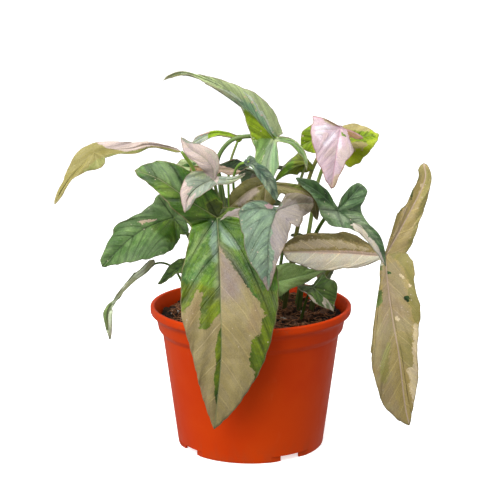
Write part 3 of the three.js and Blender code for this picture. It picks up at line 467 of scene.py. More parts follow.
  plan("leaf_back_upper", look="pale", edge=24, radius=1.8,
    joint=[6, 18, 204],
    petiole=[[4, 12], [5, 12, 150], [6, 13, 192]],
    main=lobe([[4, 34, 204], [0, 50, 198], [-4, 62, 184]], [[0, 0.3, 1], [0, 0.6, 0.8]],
          [13, 15, 11, 4], [13, 15, 11, 4]),
    right=lobe([[18, 16, 209], [26, 20, 208]], [[0, 0.3, 1]], [5, 6, 5, 3], [4, 5, 4, 3]),
    left=lobe([[-6, 14, 209], [-14, 18, 208]], [[0, 0.3, 1]], [4, 5, 4, 3], [5, 6, 5, 3])),
]


# ---------------------------------------------------------------- leaf looks

# The two tones of each ground and marking, as they show in the photo's light, 0 to 255.
# A noise runs from one tone to the other within it.
TONES = {
    "grotto": [(30, 50, 5), (55, 75, 5)], "dark olive": [(50, 65, 5), (90, 105, 5)],
    "shadow": [(60, 75, 35), (80, 95, 55)], "spot": [(50, 85, 35), (60, 95, 45)],
    "deep green": [(65, 100, 30), (105, 130, 50)], "leaf green": [(55, 95, 20), (105, 140, 45)],
    "forest": [(65, 95, 40), (110, 135, 65)], "grass": [(60, 90, 5), (115, 130, 5)],
    "olive green": [(85, 105, 5), (120, 135, 20)], "soft green": [(90, 120, 70), (120, 145, 95)],
    "meadow": [(85, 120, 60), (120, 150, 90)], "lit green": [(90, 135, 70), (140, 165, 95)],
    "moss": [(100, 120, 35), (125, 150, 55)],
    "pale moss": [(100, 110, 45), (140, 150, 65)], "fern": [(80, 110, 70), (120, 145, 100)],
    "fern shade": [(50, 75, 40), (75, 105, 60)], "fern light": [(125, 145, 110), (140, 155, 125)],
    "grey green": [(110, 135, 110), (130, 150, 125)], "sheen": [(125, 150, 125), (145, 170, 140)],
    "teal": [(65, 95, 75), (150, 165, 135)], "sage": [(155, 170, 145), (170, 180, 160)],
    "pale sage": [(185, 200, 155), (200, 210, 165)], "lime sage": [(180, 200, 140), (195, 210, 155)],
    "sage shade": [(150, 175, 135), (165, 185, 145)], "lobe green": [(125, 160, 85), (140, 175, 100)],
    "mint": [(140, 180, 140), (155, 190, 150)], "mint lime": [(150, 185, 130), (160, 195, 140)],
    "lime": [(150, 185, 5), (160, 195, 5)], "yellow lime": [(170, 190, 25), (185, 200, 35)],
    "green lime": [(140, 170, 5), (150, 180, 15)], "olive lime": [(140, 155, 5), (155, 175, 15)],
    "fresh green": [(120, 150, 20), (160, 185, 45)], "bright green": [(105, 155, 5), (150, 210, 5)],
    "shoot": [(90, 125, 30), (110, 140, 45)], "hanging green": [(130, 155, 90), (155, 175, 110)],
    "olive sage": [(110, 135, 60), (145, 160, 90)], "dull sage": [(115, 130, 90), (130, 145, 105)],
    "fresh mark": [(125, 160, 45), (135, 175, 55)], "yellow edge": [(190, 200, 115), (200, 205, 125)],
    "shaded leaf": [(165, 195, 115), (175, 205, 125)],
    "shaded light": [(180, 220, 130), (195, 230, 140)],
    "white green": [(225, 240, 195), (235, 245, 210)],
    "white shade": [(200, 210, 160), (215, 215, 170)],
    "olive": [(95, 90, 40), (135, 130, 75)], "light olive": [(135, 130, 80), (150, 140, 90)],
    "brown": [(95, 85, 65), (130, 120, 100)], "brown tan": [(130, 115, 70), (140, 130, 80)],
    "tan": [(150, 135, 90), (165, 150, 105)], "warm tan": [(150, 130, 90), (160, 140, 100)],
    "mauve tan": [(140, 120, 105), (145, 130, 120)],
    "olive tan": [(155, 145, 80), (165, 155, 95)], "grey tan": [(160, 150, 90), (175, 160, 105)],
    "green tan": [(150, 160, 85), (165, 165, 100)], "lime tan": [(170, 165, 95), (180, 175, 110)],
    "gold tan": [(180, 160, 100), (190, 170, 115)], "rose tan": [(170, 150, 105), (180, 165, 120)],
    "pink tan": [(175, 155, 115), (185, 165, 130)], "sand": [(190, 175, 110), (200, 185, 125)],
    "dry": [(160, 125, 85), (175, 140, 100)], "mushroom": [(145, 135, 125), (155, 145, 140)],
    "light mushroom": [(165, 150, 135), (180, 165, 150)],
    "stone": [(150, 150, 130), (165, 165, 145)],
    "green stone": [(175, 185, 165), (185, 195, 175)],
    "rose": [(195, 155, 160), (200, 170, 170)], "pink": [(215, 185, 195), (225, 200, 205)],
    "dusty pink": [(205, 180, 180), (215, 195, 190)],
    "pink sheen": [(240, 225, 235), (245, 235, 240)],
    "blush": [(210, 190, 180), (220, 200, 190)], "grey blush": [(200, 185, 175), (185, 170, 160)],
    "peach": [(200, 180, 155), (190, 170, 140)], "light peach": [(210, 185, 155), (215, 190, 170)],
    "dark peach": [(180, 155, 135), (170, 145, 120)],
    "pink peach": [(210, 180, 160), (200, 165, 145)],
    "cream": [(225, 205, 160), (235, 215, 175)], "grey cream": [(200, 190, 170), (210, 200, 185)],
    "dull cream": [(185, 175, 155), (200, 190, 170)],
    "pale cream": [(245, 230, 200), (245, 240, 215)],
    "pink cream": [(240, 205, 180), (240, 215, 190)],
    "pale line": [(205, 215, 190), (215, 225, 200)], "fleck": [(220, 190, 165), (230, 200, 175)],
    "lime fleck": [(215, 205, 150), (225, 215, 165)],
    "back green": [(65, 105, 50), (95, 135, 75)], "back pale": [(125, 155, 110), (140, 165, 125)],
    "back tan": [(170, 160, 115), (185, 170, 130)], "back cream": [(200, 180, 145), (210, 190, 160)],
    "stalk": [(96, 130, 52), (140, 165, 90)], "pale stalk": [(96, 130, 52), (150, 172, 96)],
    "teal stalk": [(120, 160, 60), (150, 185, 90)], "arched stalk": [(98, 128, 66), (126, 152, 86)],
    "fresh stalk": [(112, 146, 50), (150, 176, 84)], "light stalk": [(128, 156, 78), (158, 182, 110)],
    "lime stalk": [(120, 160, 40), (150, 184, 84)], "dark stalk": [(84, 112, 40), (112, 140, 60)],
    "tan stalk": [(120, 140, 60), (160, 160, 96)], "fern stalk": [(96, 130, 52), (120, 150, 70)],
    "pink stalk": [(136, 138, 64), (160, 160, 92)], "upper stalk": [(150, 176, 84), (176, 196, 116)],
}


def layer(tones, wander, soft, *outlines):
    """A marking: its tones, how far its border wanders, how soft it is in mm, its outlines."""
    outlines = [item if isinstance(item, tuple) else ("", item) for item in outlines]
    return {"tones": tones, "wander": wander, "soft": soft, "outlines": outlines}


def half(side, corners):
    """An outline that is held to one half of the main lobe."""
    return side, corners


def specks(places, size=0.8):
    """Small diamond outlines at picture points, for flecks."""
    return [[(x - size, y), (x, y - size), (x + size, y), (x, y + size)] for x, y in places]


# What a look is where a leaf doesn't say otherwise.
PLAIN_LOOK = {
    # How strong the painted light and dark streaks (sheen and shade) are, and the share of that in pale
    # parts.
    "streak": 0.26, "pale_depth": 0.25,
    # The side veins: strength, where across a vein's spacing they start, and the light of
    # green under them, a painted shade. Their smaller branches, and the painted shade of the
    # valleys along them.
    "vein": 0.85, "vein_start": 0.478, "vein_tone": 0.58, "branch": 0.4, "valley": 0.34,
    # The ribs: share of the rib's colour, the painted shade of the green beside it, and half width in mm.
    "rib_share": 0.5, "rib_shade": 0.74, "rib_width": 0.55,
    # Share of the margin's colour, of the duller underside, and of cells with a pale fleck.
    "rim": 0.6, "under_share": 0.35, "flecks": 0.07,
    # Form: how far the blade rises between side veins in mm, how strong its groove and
    # ripples are, how much the veins lean back, and the angles of folds between lobes.
    "quilt": 0.7, "calm": 1.0, "stretch": 1.0, "creases": [],
    "layers": [],
}


def leaf_look(**given):
    return {**PLAIN_LOOK, **given}


# Each leaf's look. "base" and "stem" are the tones of its blade and petiole, "rib" and
# "edge" the colours of its veins and margin, and "veins" how many side veins a half of the
# main lobe has. Each layer lies over those before it. Its corners are picture points, or,
# for the leaves at the back, millimetres in the flat drawing.
LOOKS = {
    "leaf_front": leaf_look(base="leaf green", stem="stalk", rib=(146, 150, 104),
        edge=(150, 132, 98), veins=6, streak=0.3, valley=0.3, vein=1.0, vein_start=0.462,
        vein_tone=0.76, rib_share=0.6, quilt=0.18, creases=[1.2, -1.3], layers=[
        layer("lit green", 2.0, 5.0,
              [(186, 278), (204, 256), (217, 240), (217, 252), (206, 268), (190, 292)],
              [(190, 246), (204, 228), (216, 222), (214, 234), (200, 246), (188, 262)],
              [(204, 300), (216, 278), (219, 284), (211, 310)]),
        # Its second outline is painted sheen beside the midrib.
        layer("soft green", 2.0, 4.0,
              [(132, 168), (160, 160), (174, 166), (184, 184), (196, 202), (178, 196), (150, 184)],
              [(220, 224), (226, 230), (236, 242), (241, 249), (236, 250), (226, 240), (221, 233)]),
        # Its third outline is painted shade along the crease between a side lobe and the main lobe.
        layer("deep green", 2.0, 5.0,
              [(134, 166), (150, 173), (170, 184), (190, 199), (206, 214), (190, 208), (160, 190)],
              [(150, 190), (176, 203), (206, 217), (190, 226), (166, 208)],
              [(224, 240), (246, 262), (262, 286), (256, 290), (238, 268), (222, 250)]),
        layer("olive green", 2.5, 6.0,
              [(252, 280), (266, 292), (280, 290), (280, 330), (270, 352), (258, 380), (246, 372),
               (248, 330), (258, 312)],
              [(180, 282), (196, 284), (214, 288), (222, 300), (214, 334), (196, 336), (180, 322)]),
        layer("tan", 1.1, 0.25,
              half("right", [(183, 319), (187, 308), (190, 303), (194, 296), (197, 290), (199, 292),
                             (203, 293), (202, 300), (200, 305), (201, 312), (199, 318), (201, 322),
                             (199, 330), (204, 329), (207, 330), (212, 322), (216, 317), (222, 311),
                             (224, 440), (186, 440), (166, 330), (172, 271), (178, 272), (179, 290),
                             (180, 304), (182, 313)]),
              half("left", [(218, 243), (222, 250), (230, 263), (240, 277), (250, 291), (254, 295),
                            (258, 297), (261, 303), (262, 309), (267, 315), (262, 319), (262, 326),
                            (260, 335), (255, 337), (251, 341), (252, 350), (250, 358), (250, 366),
                            (256, 372), (254, 382), (258, 400), (240, 440), (216, 440)])),
        layer("mauve tan", 0.5, 14.0,
              half("left", [(218, 243), (228, 258), (242, 280), (238, 300), (219, 296)])),
        layer("warm tan", 1.0, 5.0,
              half("right", [(178, 318), (190, 306), (198, 296), (200, 306), (190, 330), (194, 362),
                             (206, 392), (214, 420), (204, 412), (190, 370), (182, 340)]),
              half("left", [(256, 300), (262, 318), (256, 334), (246, 330), (250, 312)])),
        layer("grass", 0.5, 0.25,
              half("right", [(222, 324), (218, 334), (215, 350), (216, 364), (214, 378),
                             (214.5, 394), (216.5, 409), (219, 398), (221, 370), (223, 340)])),
        layer("grey blush", 0.4, 0.4,
              [(219, 222), (226, 213), (234, 210), (246, 206), (246, 222), (238, 218), (228, 216)]),
        # The moss and dark olive patches are painted shade: the shaded leaf seen through the sinus, drawn
        # on the blade.
        layer("moss", 0.3, 0.3,
              [(204, 203), (209, 200), (216, 197), (222, 202), (231, 206), (226, 214), (219, 219),
               (213, 218), (206, 212)]),
        layer("dark olive", 0.3, 0.3,
              [(206, 204.5), (210, 201.5), (216, 199), (221, 203.5), (229, 206.8), (224, 212.5),
               (218.5, 216.5), (214, 216), (208, 211)]),
        layer("sheen", 0.8, 4.0,
              [(219.5, 225), (226, 231), (233, 239), (240, 249), (231, 247), (223, 241)],
              [(212, 222), (216.8, 223), (216.8, 262), (213.5, 262), (210, 244)]),
    ]),
    "leaf_middle": leaf_look(base="grey green", stem="pale stalk", rib=(124, 140, 116),
        edge=(140, 118, 98), veins=5, streak=0.18, flecks=0.12, quilt=0.3, pale_depth=0.9,
        rib_share=0.3, vein=0.22, valley=0.09, branch=0.12, layers=[
        layer("sheen", 2.0, 5.0,
              [(250, 214), (264, 210), (272, 216), (268, 240), (262, 262), (256, 240)]),
        layer("mushroom", 1.0, 0.25,
              [(277, 209), (274, 218), (271, 226), (273, 233), (270, 239), (271, 246), (275, 252),
               (273, 262), (270, 274), (269, 292), (320, 292), (330, 190), (284, 186), (282, 206)],
              [(262, 278), (266, 276), (267, 282), (270, 292), (262, 290)]),
        layer("brown", 1.5, 4.0,
              [(283, 204), (285, 196), (294, 190), (304, 192), (313, 199), (316, 206), (308, 213),
               (300, 210), (296, 202), (290, 200)],
              [(296, 232), (300, 224), (304, 214), (307, 218), (302, 230), (299, 236)]),
        layer("light mushroom", 1.0, 3.0,
              [(284, 244), (276, 262), (270, 286), (282, 264), (292, 236)]),
        layer("rose", 0.6, 0.3, [(264, 205), (268, 203.5), (273, 205), (272.5, 209), (267, 208.5)]),
    ]),
    "leaf_teal": leaf_look(base="teal", stem="teal stalk", rib=(70, 98, 84), edge=(110, 140, 110),
        veins=4, streak=0.3),
    "leaf_behind_middle": leaf_look(base="olive", stem="stalk", rib=(176, 156, 126),
        edge=(128, 112, 78), veins=5, branch=0.15, vein=0.6, layers=[
        # Its first outline is a painted highlight along a vein.
        layer("light mushroom", 1.0, 3.0,
              [(236, 204), (246, 194), (256, 187), (259, 192), (250, 200), (240, 207)],
              [(278, 206), (282, 196), (290, 190), (284, 204)]),
        layer("light olive", 1.5, 2.0,
              [(276, 188), (286, 184), (300, 188), (310, 196), (296, 194), (284, 194)]),
        layer("pale moss", 1.5, 1.5, [(286, 181), (296, 183), (306, 190), (300, 190), (290, 186)]),
    ]),
    "leaf_top": leaf_look(base="lime sage", stem="arched stalk", rib=(186, 200, 168),
        edge=(176, 160, 132), veins=6, stretch=0.3, streak=0.3, valley=0.16, branch=0.1, vein=0.4,
        pale_depth=1.0, flecks=0.16, quilt=0.35, layers=[
        layer("sage shade", 2.0, 3.0,
              [(200, 84), (224, 90), (240, 100), (254, 112), (262, 124), (250, 116), (236, 104),
               (214, 92)],
              [(262, 146), (274, 142), (276, 156), (268, 176), (262, 176)]),
        layer("fresh green", 1.5, 1.2,
              [(246, 104), (252, 110), (262, 121), (270, 131), (277, 138), (268, 139), (258, 142),
               (250, 136), (244, 124), (243, 112)],
              [(160, 82), (172, 74), (182, 72), (178, 78)],
              [(262, 168), (260, 182), (252, 182), (256, 170)]),
        layer("peach", 0.5, 0.4,
              [(243, 112), (246, 122), (249, 134), (252, 142), (248, 142), (244, 128), (240, 112)],
              [(258, 156), (255.5, 164), (253.5, 172), (252, 182), (247, 182), (250, 166),
               (255, 154)]),
        layer("mint", 1.5, 2.5,
              [(234, 95), (250, 104), (264, 116), (277, 137), (270, 133), (256, 118), (242, 106)]),
        layer("pale line", 0.6, 0.8,
              [(242, 91), (251, 96), (258, 106), (262, 116), (259, 113), (254, 103), (247, 96)],
              [(262, 110), (268, 120), (273, 134), (271, 131), (266, 121), (261, 113)],
              [(218, 88), (232, 92), (244, 102), (240, 101), (230, 94)]),
        layer("lobe green", 1.0, 2.0,
              [(252, 142), (262, 139), (270, 139), (266, 150), (262, 160), (258, 172), (254, 160)],
              [(278, 136), (286, 136), (295, 141), (303, 150), (308, 166), (304, 168), (298, 156),
               (289, 147), (280, 142)]),
        layer("mint lime", 1.0, 2.0,
              [(274, 142), (279, 150), (281, 162), (276, 178), (270, 178), (271, 158)]),
        layer("fleck", 0.6, 0.3,
              *specks([(260, 103.5), (258, 106.5), (262, 115), (269, 107.5), (270, 111), (253, 98),
                       (252, 102), (245, 97), (272, 125), (273, 132), (256, 110), (265, 121),
                       (247, 93), (268, 103)])),
    ]),
    "leaf_left_long": leaf_look(base="olive tan", stem="fresh stalk", rib=(170, 158, 104),
        edge=(196, 174, 140), veins=3, stretch=0.3, streak=0.07, quilt=0.0, rim=0.3, calm=0.2,
        rib_shade=0.96, vein=0.35, rib_share=0.1, layers=[
        layer("blush", 1.0, 0.5,
              [(90, 137), (95, 141.5), (107, 148), (126, 152), (139, 149.5), (150, 146),
               (166, 147.5), (184, 152), (184, 138), (150, 136), (120, 136)]),
        layer("green tan", 0.8, 0.8,
              [(82, 172), (96, 160), (112, 154), (124, 153), (118, 157), (106, 162), (96, 170),
               (86, 174)],
              [(124, 153), (138, 150), (148, 147.5), (166, 148.5), (184, 153), (184, 158),
               (160, 151), (138, 153)]),
    ]),
    "leaf_pink_tip": leaf_look(base="sage", stem="light stalk", rib=(176, 180, 150),
        edge=(168, 140, 124), veins=5, vein=0.5, valley=0.14, streak=0.14, rib_shade=0.88,
        pale_depth=0.6, layers=[
        layer("pale sage", 2.0, 3.0,
              [(184, 170), (206, 171), (216, 180), (206, 178), (192, 176)],
              [(222, 184), (236, 178), (252, 172), (252, 176), (232, 184)]),
        layer("blush", 0.8, 0.4,
              [(176, 134), (187, 143), (203, 145), (217, 150), (226, 160), (222, 168), (217.5, 184),
               (208, 176), (197, 166), (184, 156), (176, 146)],
              [(180, 172), (183, 178), (186, 181), (187, 186), (193, 187), (190, 191), (187, 194),
               (190, 198), (187, 203), (185, 214), (176, 208), (176, 178)],
              [(196, 192), (190, 198), (187, 204), (186, 209), (189, 205), (195, 197)]),
        layer("grey cream", 1.2, 1.2,
              [(206, 150), (214, 151), (222, 157), (224, 162), (219, 168), (218, 176), (215, 172),
               (216, 164), (212, 156)]),
    ]),
    "leaf_cupped": leaf_look(base="grotto", stem="light stalk", rib=(128, 140, 84),
        edge=(168, 140, 112), veins=4, layers=[
        layer("dark peach", 0.8, 0.5,
              [(212, 165), (222, 166), (234, 169), (244, 172), (250, 170), (236, 178), (216, 178)]),
    ]),
    "leaf_left_upper": leaf_look(base="lime", stem="lime stalk", rib=(170, 200, 90),
        edge=(186, 160, 132), veins=4, layers=[
        layer("green stone", 0.8, 0.5, [(184, 126), (208, 128), (208, 140), (186, 152)]),
        layer("pink peach", 0.5, 0.4, [(200, 128), (209, 128), (210, 133), (204, 134), (200, 137)]),
    ]),
    "leaf_left_yellow": leaf_look(base="lime sage", stem="lime stalk", rib=(190, 196, 150),
        edge=(178, 160, 120), veins=4, layers=[
        layer("lit green", 0.8, 0.8, [(182, 165), (190, 163), (198, 162), (196, 165), (188, 167)]),
        layer("dry", 0.8, 0.5, [(190, 166), (208, 166), (208, 172), (190, 171)]),
    ]),
    "leaf_left": leaf_look(base="meadow", stem="dark stalk", rib=(52, 74, 36), edge=(120, 122, 84),
        veins=6, rib_share=0.7, streak=0.2, valley=0.22, vein=0.45, quilt=0.4, layers=[
        layer("soft green", 2.0, 7.0,
              [(122, 219), (140, 214), (152, 206), (150, 216), (134, 224), (116, 238), (108, 250),
               (110, 238)],
              [(142, 246), (160, 240), (172, 240), (160, 252), (140, 260), (116, 262), (124, 254)]),
        layer("deep green", 2.0, 4.0,
              [(150, 226), (168, 218), (184, 226), (184, 236), (172, 244), (160, 236)]),
        layer("peach", 0.8, 0.5, [(138, 222), (148, 219.5), (160, 219), (152, 221.5), (142, 224)]),
    ]),
    # Its tones are partly its own pale colour and partly painted light, where it hangs in shade.
    "leaf_hanging": leaf_look(base="white green", stem="dark stalk", rib=(196, 194, 170),
        edge=(120, 120, 84), veins=2, stretch=0.3, streak=0.3, layers=[
        layer("white shade", 1.2, 0.8,
              [(146, 266), (152, 258), (156, 262), (150, 276), (144, 272)],
              [(126, 284), (134, 276), (138, 280), (128, 292), (122, 292)],
              [(116, 290), (122, 286), (124, 292), (118, 300)]),
        layer("hanging green", 1.2, 0.8,
              [(100, 304), (112, 300), (112, 306), (108, 316), (108, 330), (100, 330)]),
    ]),
    "leaf_small_dark": leaf_look(base="forest", stem="dark stalk", rib=(110, 136, 90),
        edge=(130, 130, 100), veins=4),
    "leaf_right": leaf_look(base="gold tan", stem="tan stalk", rib=(212, 186, 164), rib_width=0.85,
        rib_share=0.9, rib_shade=0.97, edge=(120, 112, 58), veins=7, streak=0.13, flecks=0.14,
        quilt=0.35, pale_depth=0.55, vein=1.0, vein_start=0.45, layers=[
        layer("rose tan", 2.0, 3.0,
              [(382, 266), (396, 262), (404, 274), (407, 300), (411, 320), (411, 334), (397, 330),
               (393, 336), (389, 362), (396, 400), (405, 424), (390, 414), (376, 390), (372, 355),
               (376, 318), (382, 302)]),
        layer("pink tan", 1.5, 3.0,
              [(382, 266), (387, 274), (394, 290), (402, 304), (406, 318), (396, 318), (390, 300),
               (388, 318), (384, 332), (382, 318), (383, 300)],
              [(386, 250), (392, 238), (399, 222), (404, 209), (407, 207), (403, 222), (397, 238),
               (390, 250)]),
        layer("olive tan", 1.5, 1.5,
              [(391.5, 333), (389, 350), (389, 362), (388, 384), (380, 381), (384, 360),
               (389, 340)],
              [(387, 253), (409, 252), (414, 265), (415, 281), (421.5, 311), (418, 325), (413, 322),
               (412, 308), (407, 300), (409, 283), (404, 269), (396, 259.5)],
              [(422, 164), (430, 172), (430, 184), (426, 202), (416, 232), (410, 250), (404, 250),
               (412, 232), (420, 204), (425, 184)]),
        layer("grey tan", 1.0, 2.0,
              [(396.5, 331), (412.5, 334), (413, 368), (406, 366), (399, 354)],
              [(416, 176), (416, 170), (422, 163), (427, 168), (422, 176), (418, 182)]),
        layer("lime tan", 1.0, 1.5,
              [(391, 338), (388, 352), (384, 366), (381, 378), (379, 372), (382, 358), (386, 346)]),
        layer("cream", 1.0, 0.4,
              [(413, 323), (424, 325), (424, 380), (414, 406), (410, 389), (409.5, 376),
               (407, 368.5), (413, 368), (413, 346)],
              [(395.5, 317), (399, 316), (400.5, 320), (398, 321.5), (395.5, 319.5)],
              [(407.5, 284), (410.5, 283), (411, 287), (408.5, 288)],
              [(400, 274), (404, 276.5), (403.5, 278), (399.5, 275.5)],
              [(420.5, 183), (423, 183.5), (422, 187.5), (420, 187)],
              [(418.6, 190), (420.6, 190.5), (420, 194), (418.2, 193.6)]),
        layer("olive sage", 0.8, 0.4,
              [(376, 290), (382, 290), (382.5, 302), (378, 308), (374, 306)],
              [(377, 258), (383, 259), (382.5, 270), (377, 270)]),
        layer("spot", 0.8, 0.3,
              [(386, 270.5), (391, 272), (391.5, 274), (388, 274.5), (386, 272.5)],
              [(404.5, 296.5), (408.5, 295.5), (410, 301), (407.5, 301.5), (404.5, 299)],
              [(398, 210), (401, 205.5), (406, 205), (401, 209), (398.5, 214)],
              [(410, 198), (411.5, 188), (416, 180), (413.5, 190), (411.5, 199)]),
        layer("pale cream", 1.6, 1.2,
              [(270, 254), (300, 251), (330, 252), (356, 252), (384, 254), (384, 264), (360, 272),
               (320, 276), (270, 270)]),
        layer("brown tan", 2.0, 4.0,
              [(284, 234), (300, 234), (330, 233), (346, 230), (362, 236), (376, 250), (360, 243),
               (340, 240), (318, 241), (296, 244), (282, 250)]),
        layer("cream", 1.5, 2.0,
              [(283, 250.5), (290, 244), (304, 240.5), (322, 240), (340, 241.5), (356, 245),
               (372, 251), (350, 248.5), (326, 247.5), (304, 248.5)]),
        layer("pink cream", 0.8, 1.0,
              [(292, 252.6), (320, 250.4), (350, 250.4), (376, 252.6), (384, 256), (372, 256.5),
               (350, 254), (320, 253.8)]),
    ]),
    "leaf_right_front": leaf_look(base="fern", stem="fern stalk", rib=(96, 122, 88),
        edge=(104, 118, 84), veins=5, flecks=0.12, streak=0.34, layers=[
        layer("fern shade", 1.5, 3.0,
              [(294, 174), (312, 176), (326, 184), (334, 198), (333, 206), (322, 203), (310, 192)],
              [(340, 206), (342, 194), (356, 184), (366, 190), (356, 194), (344, 204)]),
        layer("fern light", 1.5, 3.0,
              [(318, 206), (330, 208), (342, 214), (352, 222), (342, 224), (328, 216)],
              [(346, 214), (360, 218), (376, 236), (382, 246), (372, 238), (360, 228)]),
        layer("grey cream", 0.8, 0.35,
              [(351, 225), (354, 222.5), (361, 225), (365, 231), (369, 237), (374, 241), (378, 247),
               (384, 262), (386, 272), (378, 262), (370, 246), (360, 236), (355, 232)]),
    ]),
    "leaf_pink": leaf_look(base="pink", stem="pink stalk", rib=(222, 170, 188),
        edge=(176, 130, 108), rim=0.85, veins=5, streak=0.05, vein=0.9, pale_depth=1.2, quilt=0.9,
        calm=0.6, rib_share=0.6, rib_shade=0.93, rib_width=0.8, layers=[
        layer("dusty pink", 1.5, 5.0, [(338, 150), (352, 142), (356, 152), (346, 166), (340, 170)]),
        layer("light peach", 1.2, 2.0,
              [(334, 176), (342, 170), (346, 166), (338, 184), (331, 194), (328, 188)]),
        layer("dry", 0.6, 0.6,
              [(345, 126), (352, 130), (364, 139), (358, 145), (353, 148), (349, 138)]),
        layer("fresh mark", 0.5, 0.4, [(341, 132), (344, 134), (346, 137), (342, 136)]),
        layer("yellow edge", 0.8, 0.8,
              [(322, 116), (330, 120), (338, 125), (334, 126), (324, 121)]),
        layer("pink sheen", 1.0, 2.5,
              [(316, 127), (326, 124), (331, 128), (322, 133), (320, 140), (316, 136)],
              [(323, 143), (334, 132), (336, 136), (330, 143), (324, 149)],
              [(338, 138), (341, 137), (342, 146), (339, 152), (337, 146)]),
        # Painted shade in a hollow of the crumpled blade.
        layer("dusty pink", 1.0, 3.5, [(325, 149), (336, 147), (334, 155), (328, 159), (323, 156)]),
    ]),
    "leaf_right_upper": leaf_look(base="yellow lime", stem="upper stalk", rib=(170, 190, 90),
        edge=(186, 176, 110), veins=5, layers=[
        layer("sand", 1.2, 0.4,
              [(340, 124), (360, 120), (372, 128), (368, 134), (360, 132), (350, 134), (344, 130)],
              [(346, 150), (350, 142), (362, 141), (368, 144), (364, 150), (356, 148), (352, 154)],
              [(352, 134), (358, 136), (356, 140), (350, 139)]),
        layer("shoot", 1.5, 3.0, [(298, 154), (306, 144), (312, 150), (312, 164), (300, 162)]),
        layer("olive lime", 0.6, 0.4,
              [(300, 150), (308, 145), (313, 140), (311, 150), (304, 158), (299, 156)]),
        layer("green lime", 1.0, 2.0,
              [(299, 130), (312, 122), (313, 158), (304, 154), (298, 142)],
              [(348, 131), (362, 131), (372, 133), (377, 138), (366, 142), (352, 141)]),
        layer("lime fleck", 0.6, 0.3,
              *specks([(305, 141), (308, 147), (303, 136)], 1.2)),
    ]),
    "leaf_under_top": leaf_look(base="olive lime", stem="stalk", rib=(150, 170, 90),
        edge=(130, 140, 80), veins=4, under_share=0.12, layers=[
        layer("bright green", 1.2, 3.0,
              [(274, 186), (284, 166), (294, 160), (292, 168), (284, 178), (278, 186)]),
        layer("stone", 0.8, 0.6,
              [(278, 170), (284, 161), (292, 157), (292, 160), (285, 166), (280, 172)]),
    ]),
    "leaf_low_right": leaf_look(base="forest", stem="dark stalk", rib=(150, 170, 130),
        edge=(160, 150, 120), veins=4, layers=[
        layer("shadow", 1.0, 1.5,
              [(295, 288), (308, 281), (316, 285), (316, 292), (308, 294), (298, 291)]),
        layer("dull cream", 0.8, 0.5,
              [(296, 289), (307, 293), (315, 299), (318, 307), (326, 320), (318, 318), (308, 304),
               (298, 294)],
              [(323, 296.5), (328, 300), (333, 309), (335.5, 316), (328, 321), (325.5, 311),
               (322, 303)],
              [(329.5, 302), (338, 308.5), (342, 312), (338, 317), (334.5, 308)]),
        layer("dull sage", 0.8, 1.0,
              [(325, 301), (328.5, 304), (332, 314), (329, 318), (326.5, 309)]),
    ]),
    # Its tones are lighter than its own colour: painted light, where the leaves above shade it.
    "leaf_low_green": leaf_look(base="shaded leaf", stem="dark stalk", rib=(130, 160, 110),
        edge=(120, 128, 90), veins=5, layers=[
        layer("shaded light", 2.0, 4.0,
              [(276, 284), (284, 270), (300, 268), (312, 272), (296, 280), (282, 292)]),
    ]),
    "leaf_back_centre": leaf_look(base="back green", stem="stalk", rib=(160, 178, 128),
        edge=(160, 144, 110), veins=6, layers=[
        layer("back tan", 1.2, 0.3,
              half("left", [(3, 20), (-6, 34), (-12, 50), (-20, 58), (-24, 72), (-30, 90),
                            (-10, 124), (3, 128)]),
              half("right", [(-3, 78), (6, 70), (12, 82), (20, 84), (24, 100), (2, 126)])),
        layer("blush", 1.0, 4.0, half("left", [(3, 20), (-6, 34), (-12, 50), (-4, 70), (3, 70)])),
    ]),
    "leaf_back_left": leaf_look(base="back pale", stem="stalk", rib=(176, 190, 150),
        edge=(168, 140, 124), veins=5, layers=[
        layer("blush", 1.2, 0.3,
              half("right", [(-3, 6), (8, 14), (14, 26), (10, 36), (16, 46), (8, 60), (-3, 62)])),
    ]),
    "leaf_back_right": leaf_look(base="back green", stem="stalk", rib=(150, 170, 120),
        edge=(150, 140, 104), veins=5, layers=[
        layer("back tan", 1.2, 0.3,
              half("left", [(3, 26), (-8, 30), (-12, 40), (-18, 44), (-10, 66), (3, 70)])),
    ]),
    "leaf_back_upper": leaf_look(base="back pale", stem="stalk", rib=(176, 194, 150),
        edge=(170, 150, 124), veins=5, layers=[
        layer("back cream", 1.2, 0.3,
              half("right", [(-3, 18), (6, 20), (10, 30), (14, 38), (8, 50), (-3, 54)])),
    ]),
}


# ---------------------------------------------------------------- leaf form

# Shares of a rib that its width is looked up at, and points in a stretch of the edge.
SAMPLES = np.linspace(0, 1, 481)
STRETCH_POINTS = 121
LOBE_BLEND = 7
BLEND_FROM, BLEND_TO = 0.15, 0.85
ROOT_WIDTH = 0.75
TIP_SLOPE = 1.6
NARROWEST_LOBE_ANGLE = 0.7
WIDEST_LOBE_ANGLE = 2.88
# From this angle off a rib on, its width says where the edge is.
BROADSIDE = 1.4
WAVE = 1.1
WAVE_LENGTH = 32
FOLD = 12
LOBE_FOLD = 8
HUB = 2.2
HALF_THICKNESS = 0.42
MARGIN_THICKNESS = 0.16


def unit(vectors):
    return vectors / np.maximum(np.linalg.norm(vectors, axis=-1, keepdims=True), TINY)


def smooth_step(value, low=0.0, high=1.0):
    part = np.clip((np.asarray(value, float) - low) / (high - low), 0, 1)
    return part * part * (3 - 2 * part)


def wrap_angle(angle):
    return angle - FULL_TURN * np.round(angle / (FULL_TURN))


